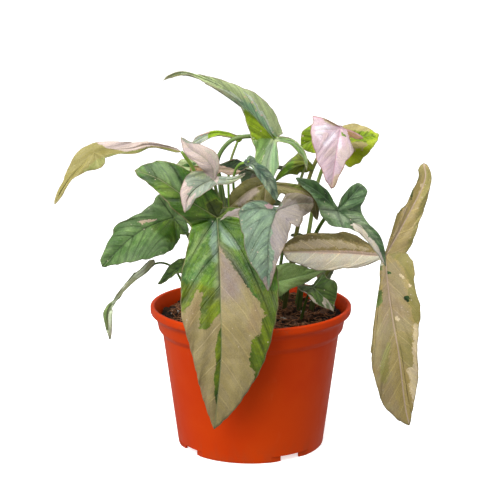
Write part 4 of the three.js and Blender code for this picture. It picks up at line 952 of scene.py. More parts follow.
def width_at(share, widths):
    """Half width of a lobe at a share of its rib: a smooth curve through its widths."""
    count = len(widths)
    stations = np.array([0.0, *((np.arange(count) + 0.5) / count), 1.0])
    w = np.array([widths[0] * ROOT_WIDTH, *widths, 0.0])
    span = np.diff(stations)
    rise = np.diff(w) / span
    slope = np.zeros(count + 2)
    for k in range(1, count + 1):
        before, after = rise[k - 1], rise[k]
        slope[k] = 0 if before * after <= 0 else 2 * before * after / (before + after)
    slope[0] = rise[0]
    slope[-1] = rise[-1] * TIP_SLOPE
    k = np.clip(np.searchsorted(stations, share, side="right") - 1, 0, count)
    u = (share - stations[k]) / span[k]
    return (
        (2 * u**3 - 3 * u**2 + 1) * w[k]
        + (u**3 - 2 * u**2 + u) * span[k] * slope[k]
        + (3 * u**2 - 2 * u**3) * w[k + 1]
        + (u**3 - u**2) * span[k] * slope[k + 1]
    )


def reach(angles, length, widths):
    """Distance from the joint to a lobe's edge, at angles off its rib."""
    off = np.abs(np.atleast_1d(np.asarray(angles, float)))
    edge = width_at(SAMPLES, widths)
    bound = np.arctan2(edge, SAMPLES * length)
    result = np.zeros_like(off)
    for i, angle in enumerate(off):
        if angle > math.pi / 2:
            continue
        wider = np.nonzero(bound > angle)[0]
        k = wider[-1] if len(wider) else 0
        share = SAMPLES[k]
        if 0 < k < len(SAMPLES) - 1:
            part = (bound[k] - angle) / max(bound[k] - bound[k + 1], TINY)
            share += part * (SAMPLES[1] - SAMPLES[0])
        if angle > BROADSIDE:
            result[i] = math.hypot(share * length, width_at(np.array([share]), widths)[0])
        else:
            result[i] = share * length / math.cos(angle)
    return result


class Rib:
    """A smooth curve through points, with the way the upper face looks along it."""

    STEPS = 16

    def __init__(self, centre, lobe, fold):
        points = np.array([centre, *lobe["through"]], float)
        ends = [2 * points[0] - points[1], *points, 2 * points[-1] - points[-2]]
        t = (np.arange(self.STEPS) / self.STEPS)[:, None]
        line = []
        for a, b, c, d in zip(ends, ends[1:], ends[2:], ends[3:]):
            start, end = (c - a) / 2, (d - b) / 2
            cubic = 2 * (b - c) + start + end
            line.append(b + t * start + t**2 * (3 * (c - b) - 2 * start - end) + t**3 * cubic)
        self.line = np.vstack([*line, points[-1:]])
        steps = np.linalg.norm(np.diff(self.line, axis=0), axis=1)
        self.along = np.concatenate([[0], np.cumsum(steps)])
        self.length = self.along[-1]
        self.tangent = unit(np.gradient(self.line, self.along, axis=0))
        self.ups = unit(np.array(lobe["up"], float))
        self.right, self.left = lobe["right"], lobe["left"]
        self.fold = math.radians(fold)
        self.angle = 0.0

    def pick(self, table, along):
        return np.stack([np.interp(along, self.along, table[:, k]) for k in range(3)], 1)

    def frames(self, along):
        """Point, sideways and upward directions at distances along the rib."""
        inside = np.clip(along, 0, self.length)
        tangent = unit(self.pick(self.tangent, inside))
        point = self.pick(self.line, inside) + (along - inside)[:, None] * tangent
        place = inside / self.length * (len(self.ups) - 1)
        k = np.minimum(place.astype(int), max(len(self.ups) - 2, 0))
        after = np.minimum(k + 1, len(self.ups) - 1)
        share = smooth_step(place - k)[:, None]
        facing = self.ups[k] * (1 - share) + self.ups[after] * share
        side = unit(np.cross(tangent, facing))
        return point, side, np.cross(side, tangent)

    def reach(self, off):
        return np.where(
            off < 0, reach(off, self.length, self.left), reach(off, self.length, self.right)
        )


class Blade:
    """A leaf blade, drawn flat round its joint and carried onto its three ribs in space."""

    def __init__(self, leaf):
        centre = leaf.get("centre", leaf["joint"])
        self.main = Rib(centre, leaf["main"], leaf.get("fold", FOLD))
        self.right = Rib(centre, leaf["right"], LOBE_FOLD)
        self.left = Rib(centre, leaf["left"], LOBE_FOLD)
        self.ribs = [self.main, self.right, self.left]
        for rib in self.ribs[1:]:
            turn = math.acos(float(np.clip(rib.tangent[0] @ self.main.tangent[0], -1, 1)))
            rib.angle = min(max(turn, NARROWEST_LOBE_ANGLE), WIDEST_LOBE_ANGLE)
        self.left.angle = FULL_TURN - self.left.angle
        notch = (self.right.angle + self.left.angle) / 2
        self.knots = [0.0, self.right.angle, notch, self.left.angle, FULL_TURN]

    def radius(self, angles):
        total = HUB**LOBE_BLEND
        for rib in self.ribs:
            total = total + rib.reach(wrap_angle(angles - rib.angle)) ** LOBE_BLEND
        return total ** (1 / LOBE_BLEND)

    def shares(self, angles):
        """How much of each rib there is in the blade at an angle of the drawing."""
        turn = np.where(angles < 0, angles + FULL_TURN, angles)
        right, left = self.right.angle, self.left.angle
        to_right = smooth_step(turn / right, BLEND_FROM, BLEND_TO)
        to_left = smooth_step((turn - right) / (left - right))
        to_main = smooth_step((turn - left) / (FULL_TURN - left), BLEND_FROM, BLEND_TO)
        ahead, behind = turn <= right, turn >= left
        middle = ~ahead & ~behind
        main = np.where(ahead, 1 - to_right, np.where(behind, to_main, 0))
        right_share = np.where(ahead, to_right, np.where(middle, 1 - to_left, 0))
        return [main, right_share, 1 - main - right_share]

    def place(self, angles, distance):
        turn = np.where(angles < 0, angles + FULL_TURN, angles)
        result = np.zeros((len(turn), 3))
        for rib, share in zip(self.ribs, self.shares(angles)):
            across = distance * np.sin(turn - rib.angle)
            point, side, up = rib.frames(distance * np.cos(turn - rib.angle))
            point = point + (across * math.cos(rib.fold))[:, None] * side
            point = point + (np.abs(across) * math.sin(rib.fold))[:, None] * up
            result += share[:, None] * point
        return result

    def edge_angles(self, count):
        """Angles of points spaced evenly along the edge, with each rib and the notch."""
        stretches = []
        for start, end in zip(self.knots, self.knots[1:]):
            angles = start + (end - start) * smooth_step(np.linspace(0, 1, STRETCH_POINTS))
            stretches.append((angles, self.laps(angles)))
        total = sum(laps[-1] for _, laps in stretches)
        result = []
        for angles, laps in stretches:
            pieces = max(2, round(count * laps[-1] / total))
            result.append(np.interp(np.arange(pieces) / pieces * laps[-1], laps, angles))
        return np.concatenate(result)

    def laps(self, angles):
        x, y = self.flat(angles, self.radius(angles))
        return np.concatenate([[0], np.cumsum(np.hypot(np.diff(x), np.diff(y)))])

    @staticmethod
    def flat(angles, distance):
        return distance * np.sin(angles), distance * np.cos(angles)


def spline(points, steps):
    """The centripetal curve that the petioles of the solids follow."""
    points = np.array(points, float)
    ends = [2 * points[0] - points[1], *points, 2 * points[-1] - points[-2]]
    t = (np.arange(steps) / steps)[:, None]
    line = []
    for a, b, c, d in zip(ends, ends[1:], ends[2:], ends[3:]):
        before, here, after = (np.linalg.norm(q - p) ** 0.5 for p, q in ((a, b), (b, c), (c, d)))
        start = (b - a) / before - (c - a) / (before + here) + (c - b) / here
        end = (c - b) / here - (d - b) / (here + after) + (d - c) / after
        start, end = start * here, end * here
        cubic = 2 * (b - c) + start + end
        line.append(b + t * start + t**2 * (3 * (c - b) - 2 * start - end) + t**3 * cubic)
    return np.vstack([*line, points[-1:]])


# ---------------------------------------------------------------- leaf meshes

POINT_STEP = 1.5
FEWEST_RAYS, MOST_RAYS = 90, 280
FEWEST_RINGS, MOST_RINGS = 16, 80
MARGIN_RINGS = [0.955, 0.98, 1.0]
# Points that the edge is measured with.
LAP_POINTS = 400
# More rays beside each rib and over each crease, in radians off it.
RIB_OFFSETS = (0.012, 0.03)
CREASE_OFFSETS = (0.0, 0.015, 0.03, 0.05)
# A crease is a fold between two lobes that lie close.
CREASE_DEPTH = 1.6
CREASE_WIDTH = 0.8
VEIN_LEAN = 1.0
VEIN_CURVE = 0.4
# Side veins closer than this quilt the blade less.
FULL_QUILT_SPACING = 14
QUILT_SHAPE = 0.6
RAGGED = 0.4
ARCH = 0.05
ARCH_WIDEST = 22
RIPPLE = 0.35
# Share of a rib's groove that is left at its tip.
GROOVE_AT_TIP = 0.25
GROOVE_WIDTH = 0.8
GROOVE_ABOVE, GROOVE_BELOW = 0.4, 0.9
THIN_EDGE = 1.6
FARTHEST_MARKING = 30
# Apart from each other in the noises, so that no two leaves have the same.
LEAF_GAP = 40.0
# The camera doesn't see the leaves whose names start so. Their markings are drawn flat.
DRAWN_FLAT = "leaf_back"

STEM_SIDES = 14
STEM_STEPS = 9
# A petiole's radius at its foot, how much of it goes by half way, and at the blade.
STEM_FOOT, STEM_TAPER, STEM_END = 0.98, 0.26, 0.25
SOIL_LEVEL = 99.5
FOOT_DEPTH = 9.5


def outline_distance(points, corners):
    """Distance from a closed outline, negative inside it."""
    start = np.array(corners, float)
    end = np.roll(start, -1, axis=0)
    nearest = np.full(len(points), FAR)
    inside = np.zeros(len(points), bool)
    for a, b in zip(start, end):
        line = b - a
        off = points - a
        share = np.clip(off @ line / max(line @ line, TINY), 0, 1)
        nearest = np.minimum(nearest, np.linalg.norm(off - share[:, None] * line, axis=1))
        crosses = (points[:, 1] < a[1]) != (points[:, 1] < b[1])
        if a[1] != b[1]:
            at = a[0] + (points[:, 1] - a[1]) * (b[0] - a[0]) / (b[1] - a[1])
            inside ^= crosses & (points[:, 0] < at)
    return np.where(inside, -nearest, nearest)


def vertex_normals(points, faces):
    a, b, c = (points[faces[:, k]] for k in range(3))
    across = np.cross(b - a, c - a)
    normals = np.zeros_like(points)
    for k in range(3):
        np.add.at(normals, faces[:, k], across)
    return unit(normals)


def either_side(places, offsets):
    return [place + sign * off for place in places for off in offsets for sign in (-1, 1)]


class Sheet:
    """A blade as rings of points round its joint, and what its form and paint go by."""

    def __init__(self, leaf, look, seed):
        self.leaf, self.look, self.seed = leaf, look, seed
        self.blade = Blade(leaf)
        self.lap = self.edge_laps(LAP_POINTS)[-1]
        self.waves = max(3, round(self.edge_laps(leaf["edge"])[-2] / WAVE_LENGTH))
        self.angles = self.rays()
        reaches = self.ragged(self.blade.radius(self.angles))
        rings = int(min(MOST_RINGS, max(FEWEST_RINGS, reaches.max() / POINT_STEP)))
        shares = np.append(np.linspace(0, MARGIN_RINGS[0], rings - 2)[1:-1], MARGIN_RINGS)
        self.count, self.rings = len(self.angles), len(shares)
        self.turn = np.concatenate([[0.0], np.tile(self.angles, self.rings)])
        self.share = np.concatenate([[0.0], np.repeat(shares, self.count)])
        self.distance = np.concatenate([[0.0], np.outer(shares, reaches).ravel()])
        self.flat = np.stack(self.blade.flat(self.turn, self.distance), 1)
        edge = np.stack(self.blade.flat(self.angles, reaches), 1)
        self.margin = np.abs(outline_distance(self.flat, edge))
        self.measure_ribs()

    def edge_laps(self, count):
        return self.blade.laps(np.append(self.blade.edge_angles(count), FULL_TURN))

    def rays(self):
        """Angles spaced evenly along the edge, with more at the ribs and creases."""
        count = int(min(MOST_RAYS, max(FEWEST_RAYS, self.lap / POINT_STEP)))
        near = either_side([rib.angle for rib in self.blade.ribs], RIB_OFFSETS)
        near += either_side(self.look["creases"], CREASE_OFFSETS)
        angles = np.append(self.blade.edge_angles(count), near)
        return np.unique(np.round(np.mod(angles, FULL_TURN), 5))

    def ragged(self, reaches):
        """The edge moved in and out a little, less where it is near the joint."""
        lap, seed = self.blade.laps(self.angles), self.seed
        wave = np.sin(lap * 0.52 + seed)
        wave += 0.7 * np.sin(lap * 0.93 + 2 * seed) * np.sin(lap * 0.17)
        return reaches + RAGGED * wave * smooth_step(reaches, 6, 24)

    def measure_ribs(self):
        """Distance from the ribs, depth of their groove, and the count of side veins."""
        blade, distance = self.blade, self.distance
        self.rib_gap = np.full(len(self.flat), FAR)
        self.groove = np.zeros(len(self.flat))
        self.run = np.zeros(len(self.flat))
        self.spacing = blade.main.length / self.look["veins"]
        lean = VEIN_LEAN / self.look["stretch"]
        for rib, part in zip(blade.ribs, blade.shares(self.turn)):
            along = distance * np.cos(self.turn - rib.angle)
            across = np.abs(distance * np.sin(self.turn - rib.angle))
            gap = np.hypot(across, along - np.clip(along, 0, rib.length))
            taper = np.clip(1 - along / rib.length, 0, 1)
            depth = GROOVE_AT_TIP + (1 - GROOVE_AT_TIP) * taper
            self.groove = np.where(gap < self.rib_gap, depth, self.groove)
            self.rib_gap = np.minimum(self.rib_gap, gap)
            curve = VEIN_CURVE * across**2 / max(*rib.right, *rib.left)
            self.run += part * (along - across * lean - curve) / self.spacing

    def lift(self):
        """How far points rise off the smooth blade: waves, quilting, arch, ripples, creases."""
        margin, distance, seed = self.margin, self.distance, self.seed
        lap_at = np.interp(self.turn, self.angles, self.blade.laps(self.angles))
        phase = FULL_TURN * self.waves * lap_at / self.lap
        lift = WAVE * self.share**3 * np.sin(phase)
        between = 1 - np.abs(np.mod(self.run, 1) - 0.5) * 2
        quilt = self.look["quilt"] * min(1, self.spacing / FULL_QUILT_SPACING)
        away = smooth_step(self.rib_gap, 0, 5) * smooth_step(margin, 0, 4)
        lift += quilt * (between**QUILT_SHAPE - QUILT_SHAPE) * away
        width = self.rib_gap + margin
        bow = np.sin(math.pi * self.rib_gap / np.maximum(width, TINY)) ** 2
        lift += ARCH * np.minimum(width, ARCH_WIDEST) * bow
        ripple = np.sin(phase * 2.7 + seed) + 0.7 * np.sin(phase * 4.3 + 2 * seed)
        ripple *= smooth_step(margin, 5, 0) * smooth_step(distance, 4, 16)
        lift += RIPPLE * self.look["calm"] * ripple
        for crease in self.look["creases"]:
            aside = np.abs(wrap_angle(self.turn - crease)) * distance
            dip = np.exp(-((aside / CREASE_WIDTH) ** 2))
            lift -= CREASE_DEPTH * dip * smooth_step(distance, 4, 10)
        return lift

    def solid(self):
        """Points and faces of the closed blade: its upper face, lower face and margin."""
        triangles, quads = fan_faces(self.count, self.rings)
        smooth = self.blade.place(self.turn, self.distance)
        self.surface = smooth + self.lift()[:, None] * vertex_normals(smooth, triangles)
        normals = vertex_normals(self.surface, triangles)
        fullness = smooth_step(self.margin, 0, THIN_EDGE)
        body = MARGIN_THICKNESS + (HALF_THICKNESS - MARGIN_THICKNESS) * fullness
        groove = self.look["calm"] * self.groove
        groove = groove * np.exp(-((self.rib_gap / GROOVE_WIDTH) ** 2))
        top = self.surface + (body - GROOVE_ABOVE * groove)[:, None] * normals
        bottom = self.surface - (body + GROOVE_BELOW * groove)[:, None] * normals
        under = len(top)
        rim = np.arange(under - self.count, under)
        faces = list(quads)
        faces += [tuple(under + k for k in reversed(face)) for face in quads]
        faces += [(a, b, under + b, under + a) for a, b in zip(rim, np.roll(rim, -1))]
        return np.vstack([top, bottom]), faces

    def attributes(self):
        """What the paint reads at each point, for the upper and the lower face."""
        seen, scale = self.flat, 1.0
        if not self.leaf["name"].startswith(DRAWN_FLAT):
            seen, scale = picture_points(self.surface), POINT_SIZE
        main_across = self.distance * np.sin(self.turn)
        past_middle = {"right": -main_across, "left": main_across}
        found = {"rib_gap": self.rib_gap, "run": self.run, "margin": self.margin}
        for k, marking in enumerate(self.look["layers"]):
            nearest = np.full(len(seen), FAR)
            for side, corners in marking["outlines"]:
                gap = outline_distance(seen, corners) * scale
                if side:
                    gap = np.maximum(gap, past_middle[side])
                nearest = np.minimum(nearest, gap)
            found[f"layer{k}"] = np.clip(nearest, -FARTHEST_MARKING, FARTHEST_MARKING)
        found = {name: np.tile(value, 2) for name, value in found.items()}
        found["under"] = np.repeat([0.0, 1.0], len(seen))
        return found


def fan_faces(count, rings):
    """Triangles, and the same as quads, of rings of points round a middle one."""
    triangles, quads = [], []
    for i in range(count):
        j = (i + 1) % count
        triangles.append((0, 1 + j, 1 + i))
        quads.append((0, 1 + j, 1 + i))
        for ring in range(rings - 1):
            inner = 1 + ring * count
            outer = inner + count
            triangles += [(inner + i, inner + j, outer + j), (inner + i, outer + j, outer + i)]
            quads.append((inner + i, inner + j, outer + j, outer + i))
    return np.array(triangles), quads


def tube(path, radii, sides):
    """Points and faces of a closed round tube along a path, and how far along each is."""
    tangents = unit(np.gradient(path, axis=0))
    side = unit(np.cross(tangents[0], [0.3, 1.0, 0.1]))
    points, along = [], []
    lengths = np.concatenate([[0], np.cumsum(np.linalg.norm(np.diff(path, axis=0), axis=1))])
    turns = np.arange(sides) * FULL_TURN / sides
    for centre, tangent, radius, length in zip(path, tangents, radii, lengths):
        side = unit(side - (side @ tangent) * tangent)
        other = np.cross(tangent, side)
        ring = np.cos(turns)[:, None] * side + np.sin(turns)[:, None] * other
        points.append(centre + radius * ring)
        along += [length] * sides
    faces = []
    for k in range(len(path) - 1):
        low, high = k * sides, (k + 1) * sides
        for i in range(sides):
            j = (i + 1) % sides
            faces.append((low + i, low + j, high + j, high + i))
    faces.append(tuple(reversed(range(sides))))
    faces.append(tuple(range((len(path) - 1) * sides, len(path) * sides)))
    return np.vstack(points), faces, np.array(along), np.tile(turns, len(path))


def make_object(name, points, faces, materials):
    mesh = bpy.data.meshes.new(name)
    mesh.from_pydata((np.asarray(points) * MM).tolist(), [], faces)
    for material in materials:
        mesh.materials.append(material)
    mesh.polygons.foreach_set("use_smooth", [True] * len(faces))
    mesh.update()
    return add_object(name, mesh)


def make_leaf(leaf, seed):
    look = LOOKS[leaf["name"]]
    sheet = Sheet(leaf, look, seed)
    points, faces = sheet.solid()
    foot, *route = leaf["petiole"]
    path = spline([[*foot, SOIL_LEVEL - FOOT_DEPTH], *route, leaf["joint"]], STEM_STEPS)
    share = np.linspace(0, 1, len(path))
    radii = leaf["radius"] * (STEM_FOOT - STEM_TAPER * smooth_step(share, 0.0, 0.55))
    radii *= 1 - STEM_END * smooth_step(share, 0.9, 1.0)
    stem, stem_faces, along, turns = tube(path, radii, STEM_SIDES)
    start = len(points)
    made = make_object(
        "fine_" + leaf["name"], np.vstack([points, stem]),
        faces + [tuple(start + k for k in face) for face in stem_faces],
        [leaf_paint(leaf["name"], look), stem_paint(leaf["name"], look)],
    )
    mesh = made.data
    picks = [0] * len(faces) + [1] * len(stem_faces)
    mesh.polygons.foreach_set("material_index", picks)
    for key, value in sheet.attributes().items():
        layer = mesh.attributes.new(key, "FLOAT", "POINT")
        value = np.concatenate([value, np.zeros(len(stem))])
        layer.data.foreach_set("value", value.astype(np.float32))
    flat = np.vstack([sheet.flat, sheet.flat, np.stack([turns * leaf["radius"], along], 1)])
    flat = np.column_stack([flat, np.full(len(flat), LEAF_GAP * seed)])
    layer = mesh.attributes.new("flat", "FLOAT_VECTOR", "POINT")
    layer.data.foreach_set("vector", flat.astype(np.float32).ravel())
    mesh.update()
    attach(made, "root")
    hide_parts(leaf["name"])


# ---------------------------------------------------------------- leaf paint

FLECK = tone(214, 196, 172)
UNDERSIDE = tone(158, 166, 134)
STEM_BLUSH = tone(196, 160, 140)
# Towards the potting mix a petiole is darker, painted shade under the leaves, and then earthy.
STEM_LOW_SHADE, STEM_EARTHY = tone(56, 74, 34), tone(96, 78, 54)


class LeafPaint(Paint):
    """A blade's material. It reads the attributes that Sheet gives the mesh."""

    def __init__(self, name, look):
        super().__init__(name + "_blade")
        self.look = look
        flat = self.place("flat")
        across, along, seed = self.parts(flat)
        self.spread = self.node("CombineXYZ", {0: self.plus(across, seed), 1: along})
        self.rib_gap, self.run = self.number("rib_gap"), self.number("run")
        self.margin = self.number("margin")
        self.patchy = self.noise(flat, 0.16, 4, 0.6)
        self.patches = self.plus(self.noise(flat, 0.045, 3), self.times(self.patchy, 0.7))
        self.grain = self.noise(flat, 1.1, 3, 0.6)
        self.paper = self.noise(flat, 3.4, 2, 0.6)
        side = self.times_plus(self.math("SIGN", across), 7.3, seed)
        lines = {0: self.times(self.run, 5.5), 1: self.times(self.rib_gap, 0.09), 2: side}
        self.streaks = self.noise(self.node("CombineXYZ", lines), 1.0, 4, 0.62)
        self.jag = self.minus(self.noise(flat, 0.42, 3, 0.65), 0.5)
        self.wobble = self.border(flat)

    def border(self, flat):
        """How far the markings' borders wander, in millimetres: less beside a rib."""
        wander = self.minus(self.noise(flat, 0.13, 2), 0.5)
        chips = self.cells(self.spread, 0.75, output="Color")
        chip = self.minus(self.parts(chips, "Color")[0], 0.5)
        wobble = self.times_plus(self.jag, 4.0, self.times(chip, 2.6))
        wobble = self.times_plus(wander, 4.0, wobble)
        return self.times(wobble, self.ramp(self.rib_gap, 0.3, 3.5))

    def two_tones(self, name):
        dark, light = TONES[name]
        return self.mix(self.ramp(self.patches, 0.66, 1.04), tone(*dark), tone(*light))

    def ground(self):
        """The two tones of the blade, with its markings over them."""
        colour = self.two_tones(self.look["base"])
        for k, marking in enumerate(self.look["layers"]):
            gap = self.times_plus(self.wobble, marking["wander"] * 0.5, self.number(f"layer{k}"))
            mask = self.ramp(gap, -marking["soft"] / 2, marking["soft"] / 2, 1.0, 0.0)
            colour = self.mix(mask, colour, self.two_tones(marking["tones"]))
        return colour

    def streaked(self, colour):
        """Painted light and shade: streaks between the side veins, a little yellower where they are
        lighter, and shade in their valleys and beside the ribs.
        """
        look = self.look
        self.away = self.math("ABSOLUTE", self.minus(self.math("FRACT", self.run), 0.5))
        red, green, _ = self.parts(colour, "Color")
        tan_part = self.ramp(self.math("DIVIDE", red, green), 0.8, 1.05)
        bright_part = self.ramp(self.node("RGBToBW", {0: colour}), 0.2, 0.35)
        self.pale_part = self.math("MAXIMUM", tan_part, bright_part)
        self.depth = self.times_plus(self.pale_part, look["pale_depth"] - 1, 1.0)
        # Painted light and dark streaks: the sheen and shade of the quilted blade.
        light = self.times(self.ramp(self.streaks, 0.3, 0.7, -1.0, 1.0), look["streak"])
        light = self.times_plus(light, self.depth, 1.0)
        # Painted shade in the valleys along the side veins, in green parts.
        valley = self.ramp(self.away, 0.15, 0.49, -0.12, look["valley"])
        valley = self.times(valley, self.minus(1.0, self.pale_part))
        light = self.times(light, self.minus(1.0, valley))
        for grain in (self.grain, self.paper):
            light = self.times(light, self.ramp(grain, 0.3, 0.7, 0.9, 1.1))
        # Painted shade beside the ribs, less in pale parts.
        rib_side_shade = self.ramp(self.rib_gap, 0.2, 1.5, look["rib_shade"] - 1, 0.0)
        rib_side_shade = self.times(rib_side_shade, self.times_plus(self.pale_part, -0.85, 1.0))
        light = self.times(light, self.plus(rib_side_shade, 1.0))
        blue = self.times(light, self.ramp(self.streaks, 0.35, 0.65, 1.08, 0.92))
        return self.shade(colour, light, light, blue)

    def veined(self, colour):
        """Two nets, branches, side veins at whole numbers of "run", and the ribs.

        In green parts they are darker, painted shade in their grooves; in tan parts they are paler.
        """
        look = self.look
        light = self.times_plus(self.pale_part, 1.38 - look["vein_tone"], look["vein_tone"])
        vein_colour = self.shade(colour, light, light, light)
        side_vein = self.ramp(self.away, look["vein_start"], 0.496)
        self.side_vein = self.times(side_vein, self.ramp(self.margin, 1.0, 5.0))
        run = self.times_plus(self.minus(self.grain, 0.5), 0.12, self.times(self.run, 3.0))
        branch = self.math("ABSOLUTE", self.minus(self.math("FRACT", run), 0.5))
        branch = self.ramp(branch, 0.46, 0.495)
        self.branch = self.times(branch, self.ramp(self.margin, 2.0, 7.0))
        net = self.cells(self.spread, 0.4, "DISTANCE_TO_EDGE")
        self.net = self.ramp(net, 0.0, 0.08, 1.0, 0.0)
        fine_net = self.cells(self.spread, 1.1, "DISTANCE_TO_EDGE")
        fine_net = self.ramp(fine_net, 0.0, 0.12, 1.0, 0.0)
        for line, strength in ((fine_net, 0.24), (self.net, 0.3),
                               (self.branch, look["branch"]), (self.side_vein, look["vein"])):
            colour = self.mix(self.times(line, strength), colour, vein_colour)
        rib = self.ramp(self.rib_gap, 0.2, look["rib_width"], 1.0, 0.0)
        return self.mix(self.times(rib, look["rib_share"]), colour, tone(*look["rib"]))

    def finished(self, colour):
        """Pale flecks, the thin dry margin, and the duller, paler underside."""
        look = self.look
        rare, size, _ = self.parts(self.cells(self.spread, 0.25, output="Color"), "Color")
        least = 1 - look["flecks"]
        spot = self.minus(self.cells(self.spread, 0.25), self.times(size, 0.1))
        fleck = self.times(self.ramp(spot, 0.01, 0.05, 1.0, 0.0),
                           self.ramp(rare, least, least + 0.02))
        colour = self.mix(self.times(fleck, 0.75), colour, FLECK)
        rim = self.plus(self.margin, self.times(self.jag, 0.8))
        rim = self.ramp(rim, 0.3, 0.75, 1.0, 0.0)
        colour = self.mix(self.times(rim, look["rim"]), colour, tone(*look["edge"]))
        pale = self.mix(look["under_share"], colour, UNDERSIDE)
        return self.mix(self.number("under"), colour, pale)

    def relief(self):
        sunken = self.times_plus(self.pale_part, 0.8, -0.6)
        height = self.times_plus(self.side_vein, sunken, self.times(self.net, -0.2))
        height = self.times_plus(self.times(self.branch, sunken), 0.5, height)
        height = self.times_plus(self.times(self.streaks, self.depth), 1.6, height)
        height = self.plus(self.times(self.patchy, self.depth), height)
        height = self.times_plus(self.grain, 0.45, height)
        return self.bump(height, 0.8, 0.0007)


def leaf_paint(name, look):
    paint = LeafPaint(name, look)
    colour = paint.finished(paint.veined(paint.streaked(paint.ground())))
    paint.surface({
        "Base Color": colour, "Roughness": paint.ramp(paint.streaks, 0.3, 0.7, 0.3, 0.46),
        "Specular IOR Level": 0.3, "Normal": paint.relief(),
    })
    return paint.material


def stem_paint(name, look):
    paint = Paint(name + "_stalk")
    flat = paint.place("flat")
    dark, light = TONES[look["stem"]]
    streaks = paint.noise(paint.scaled(flat, (1.0, 0.12, 1.0)), 0.5, 4, 0.6)
    colour = paint.mix(paint.ramp(streaks, 0.35, 0.65), tone(*dark), tone(*light))
    blush = paint.ramp(paint.noise(paint.scaled(flat, (0.8, 0.1, 1.0)), 0.35, 3), 0.58, 0.7)
    colour = paint.mix(paint.times(blush, 0.35), colour, STEM_BLUSH)
    _, along, _ = paint.parts(flat)
    # Painted shade: darker towards the potting mix, under the leaves.
    colour = paint.mix(paint.ramp(along, 15, 60, 0.75, 0.0), colour, STEM_LOW_SHADE)
    colour = paint.mix(paint.ramp(along, 6, 20, 0.5, 0.0), colour, STEM_EARTHY)
    relief = paint.plus(streaks, paint.times(paint.noise(flat, 0.9, 3), 0.2))
    paint.surface({
        "Base Color": colour, "Roughness": 0.42, "Specular IOR Level": 0.3,
        "Normal": paint.bump(relief, 0.4, 0.0004),
    })
    return paint.material


# ---------------------------------------------------------------- pot

POT = {
    "height": 108, "rim": 76, "band_top": 71.7, "band_bottom": 70, "band_low": 90.5,
    "shoulder": 66.9, "shoulder_low": 86.5, "foot": 55.6, "foot_width": 3.2, "foot_bend": 6,
    "floor_under": 5.2, "floor_top": 7, "wall": 1.4, "sides": 288,
    # Heights below the top of the band's end and of the lip's two ends, and the lip's width.
    "band_drop": 8.8, "lip_drop": 5.4, "inner_lip_drop": 6.4, "lip_width": 3,
}
# A notch of the foot: a deep narrow one in a shallow wide one. Angles in degrees.
NOTCH = {
    "count": 4, "first": 213, "height": 4.6, "degrees": 17, "wide_degrees": 35,
    "wide_depth": 2.2, "corner": 1.0, "corner_steps": 6, "reach": 7, "below": -4,
}
DRAIN = {"radius": 4.5, "ring": 40, "sides": 40, "heights": (-3.0, 6.0, 15.0)}
SHARP_DEGREES = 38
BEND_STEPS = 5
# Most of a side that a rounded corner may take up.
BEND_SHARE = 0.48


def body_radius(z):
    return POT["foot"] + (POT["shoulder"] - POT["foot"]) * z / POT["shoulder_low"]


def inside_radius(z):
    if z > POT["band_low"]:
        return POT["band_bottom"] - POT["wall"]
    return body_radius(z) - POT["wall"]


def rounded(corners, radii):
    """A line through corners, each rounded with its own radius."""
    line = [np.array(corners[0], float)]
    for before, here, after, radius in zip(corners, corners[1:], corners[2:], radii):
        a, b, c = (np.array(p, float) for p in (before, here, after))
        sides = np.linalg.norm(a - b), np.linalg.norm(c - b)
        room = min(radius, *(BEND_SHARE * side for side in sides))
        start, end = b + unit(a - b) * room, b + unit(c - b) * room
        for k in range(BEND_STEPS + 1):
            t = k / BEND_STEPS
            line.append((1 - t) ** 2 * start + 2 * t * (1 - t) * b + t**2 * end)
    line.append(np.array(corners[-1], float))
    return line


def pot_profile():
    """The pot's wall as a line from the middle of its underside to that of its floor."""
    rim, top, wall = POT["rim"], POT["height"], POT["wall"]
    inner_foot = POT["foot"] - POT["foot_width"]
    corners = [
        (0, POT["floor_under"]), (inner_foot, POT["floor_under"]), (inner_foot, 0),
        (POT["foot"], 0), (body_radius(POT["foot_bend"]), POT["foot_bend"]),
        (POT["shoulder"], POT["shoulder_low"]), (POT["band_bottom"], POT["band_low"]),
        (POT["band_top"], top - POT["band_drop"]), (rim, top - POT["lip_drop"]), (rim, top),
        (rim - POT["lip_width"], top), (POT["band_top"] - wall, top - POT["inner_lip_drop"]),
        (POT["band_bottom"] - wall, POT["band_low"]),
        (POT["shoulder"] - wall, POT["shoulder_low"]),
        (body_radius(POT["floor_top"]) - wall, POT["floor_top"]), (0, POT["floor_top"]),
    ]
    radii = [0.8, 0.5, 1.0, 3.0, 0.9, 1.2, 2.6, 1.6, 1.3, 1.0, 3.0, 1.5, 1.5, 2.0]
    return rounded(corners, radii)


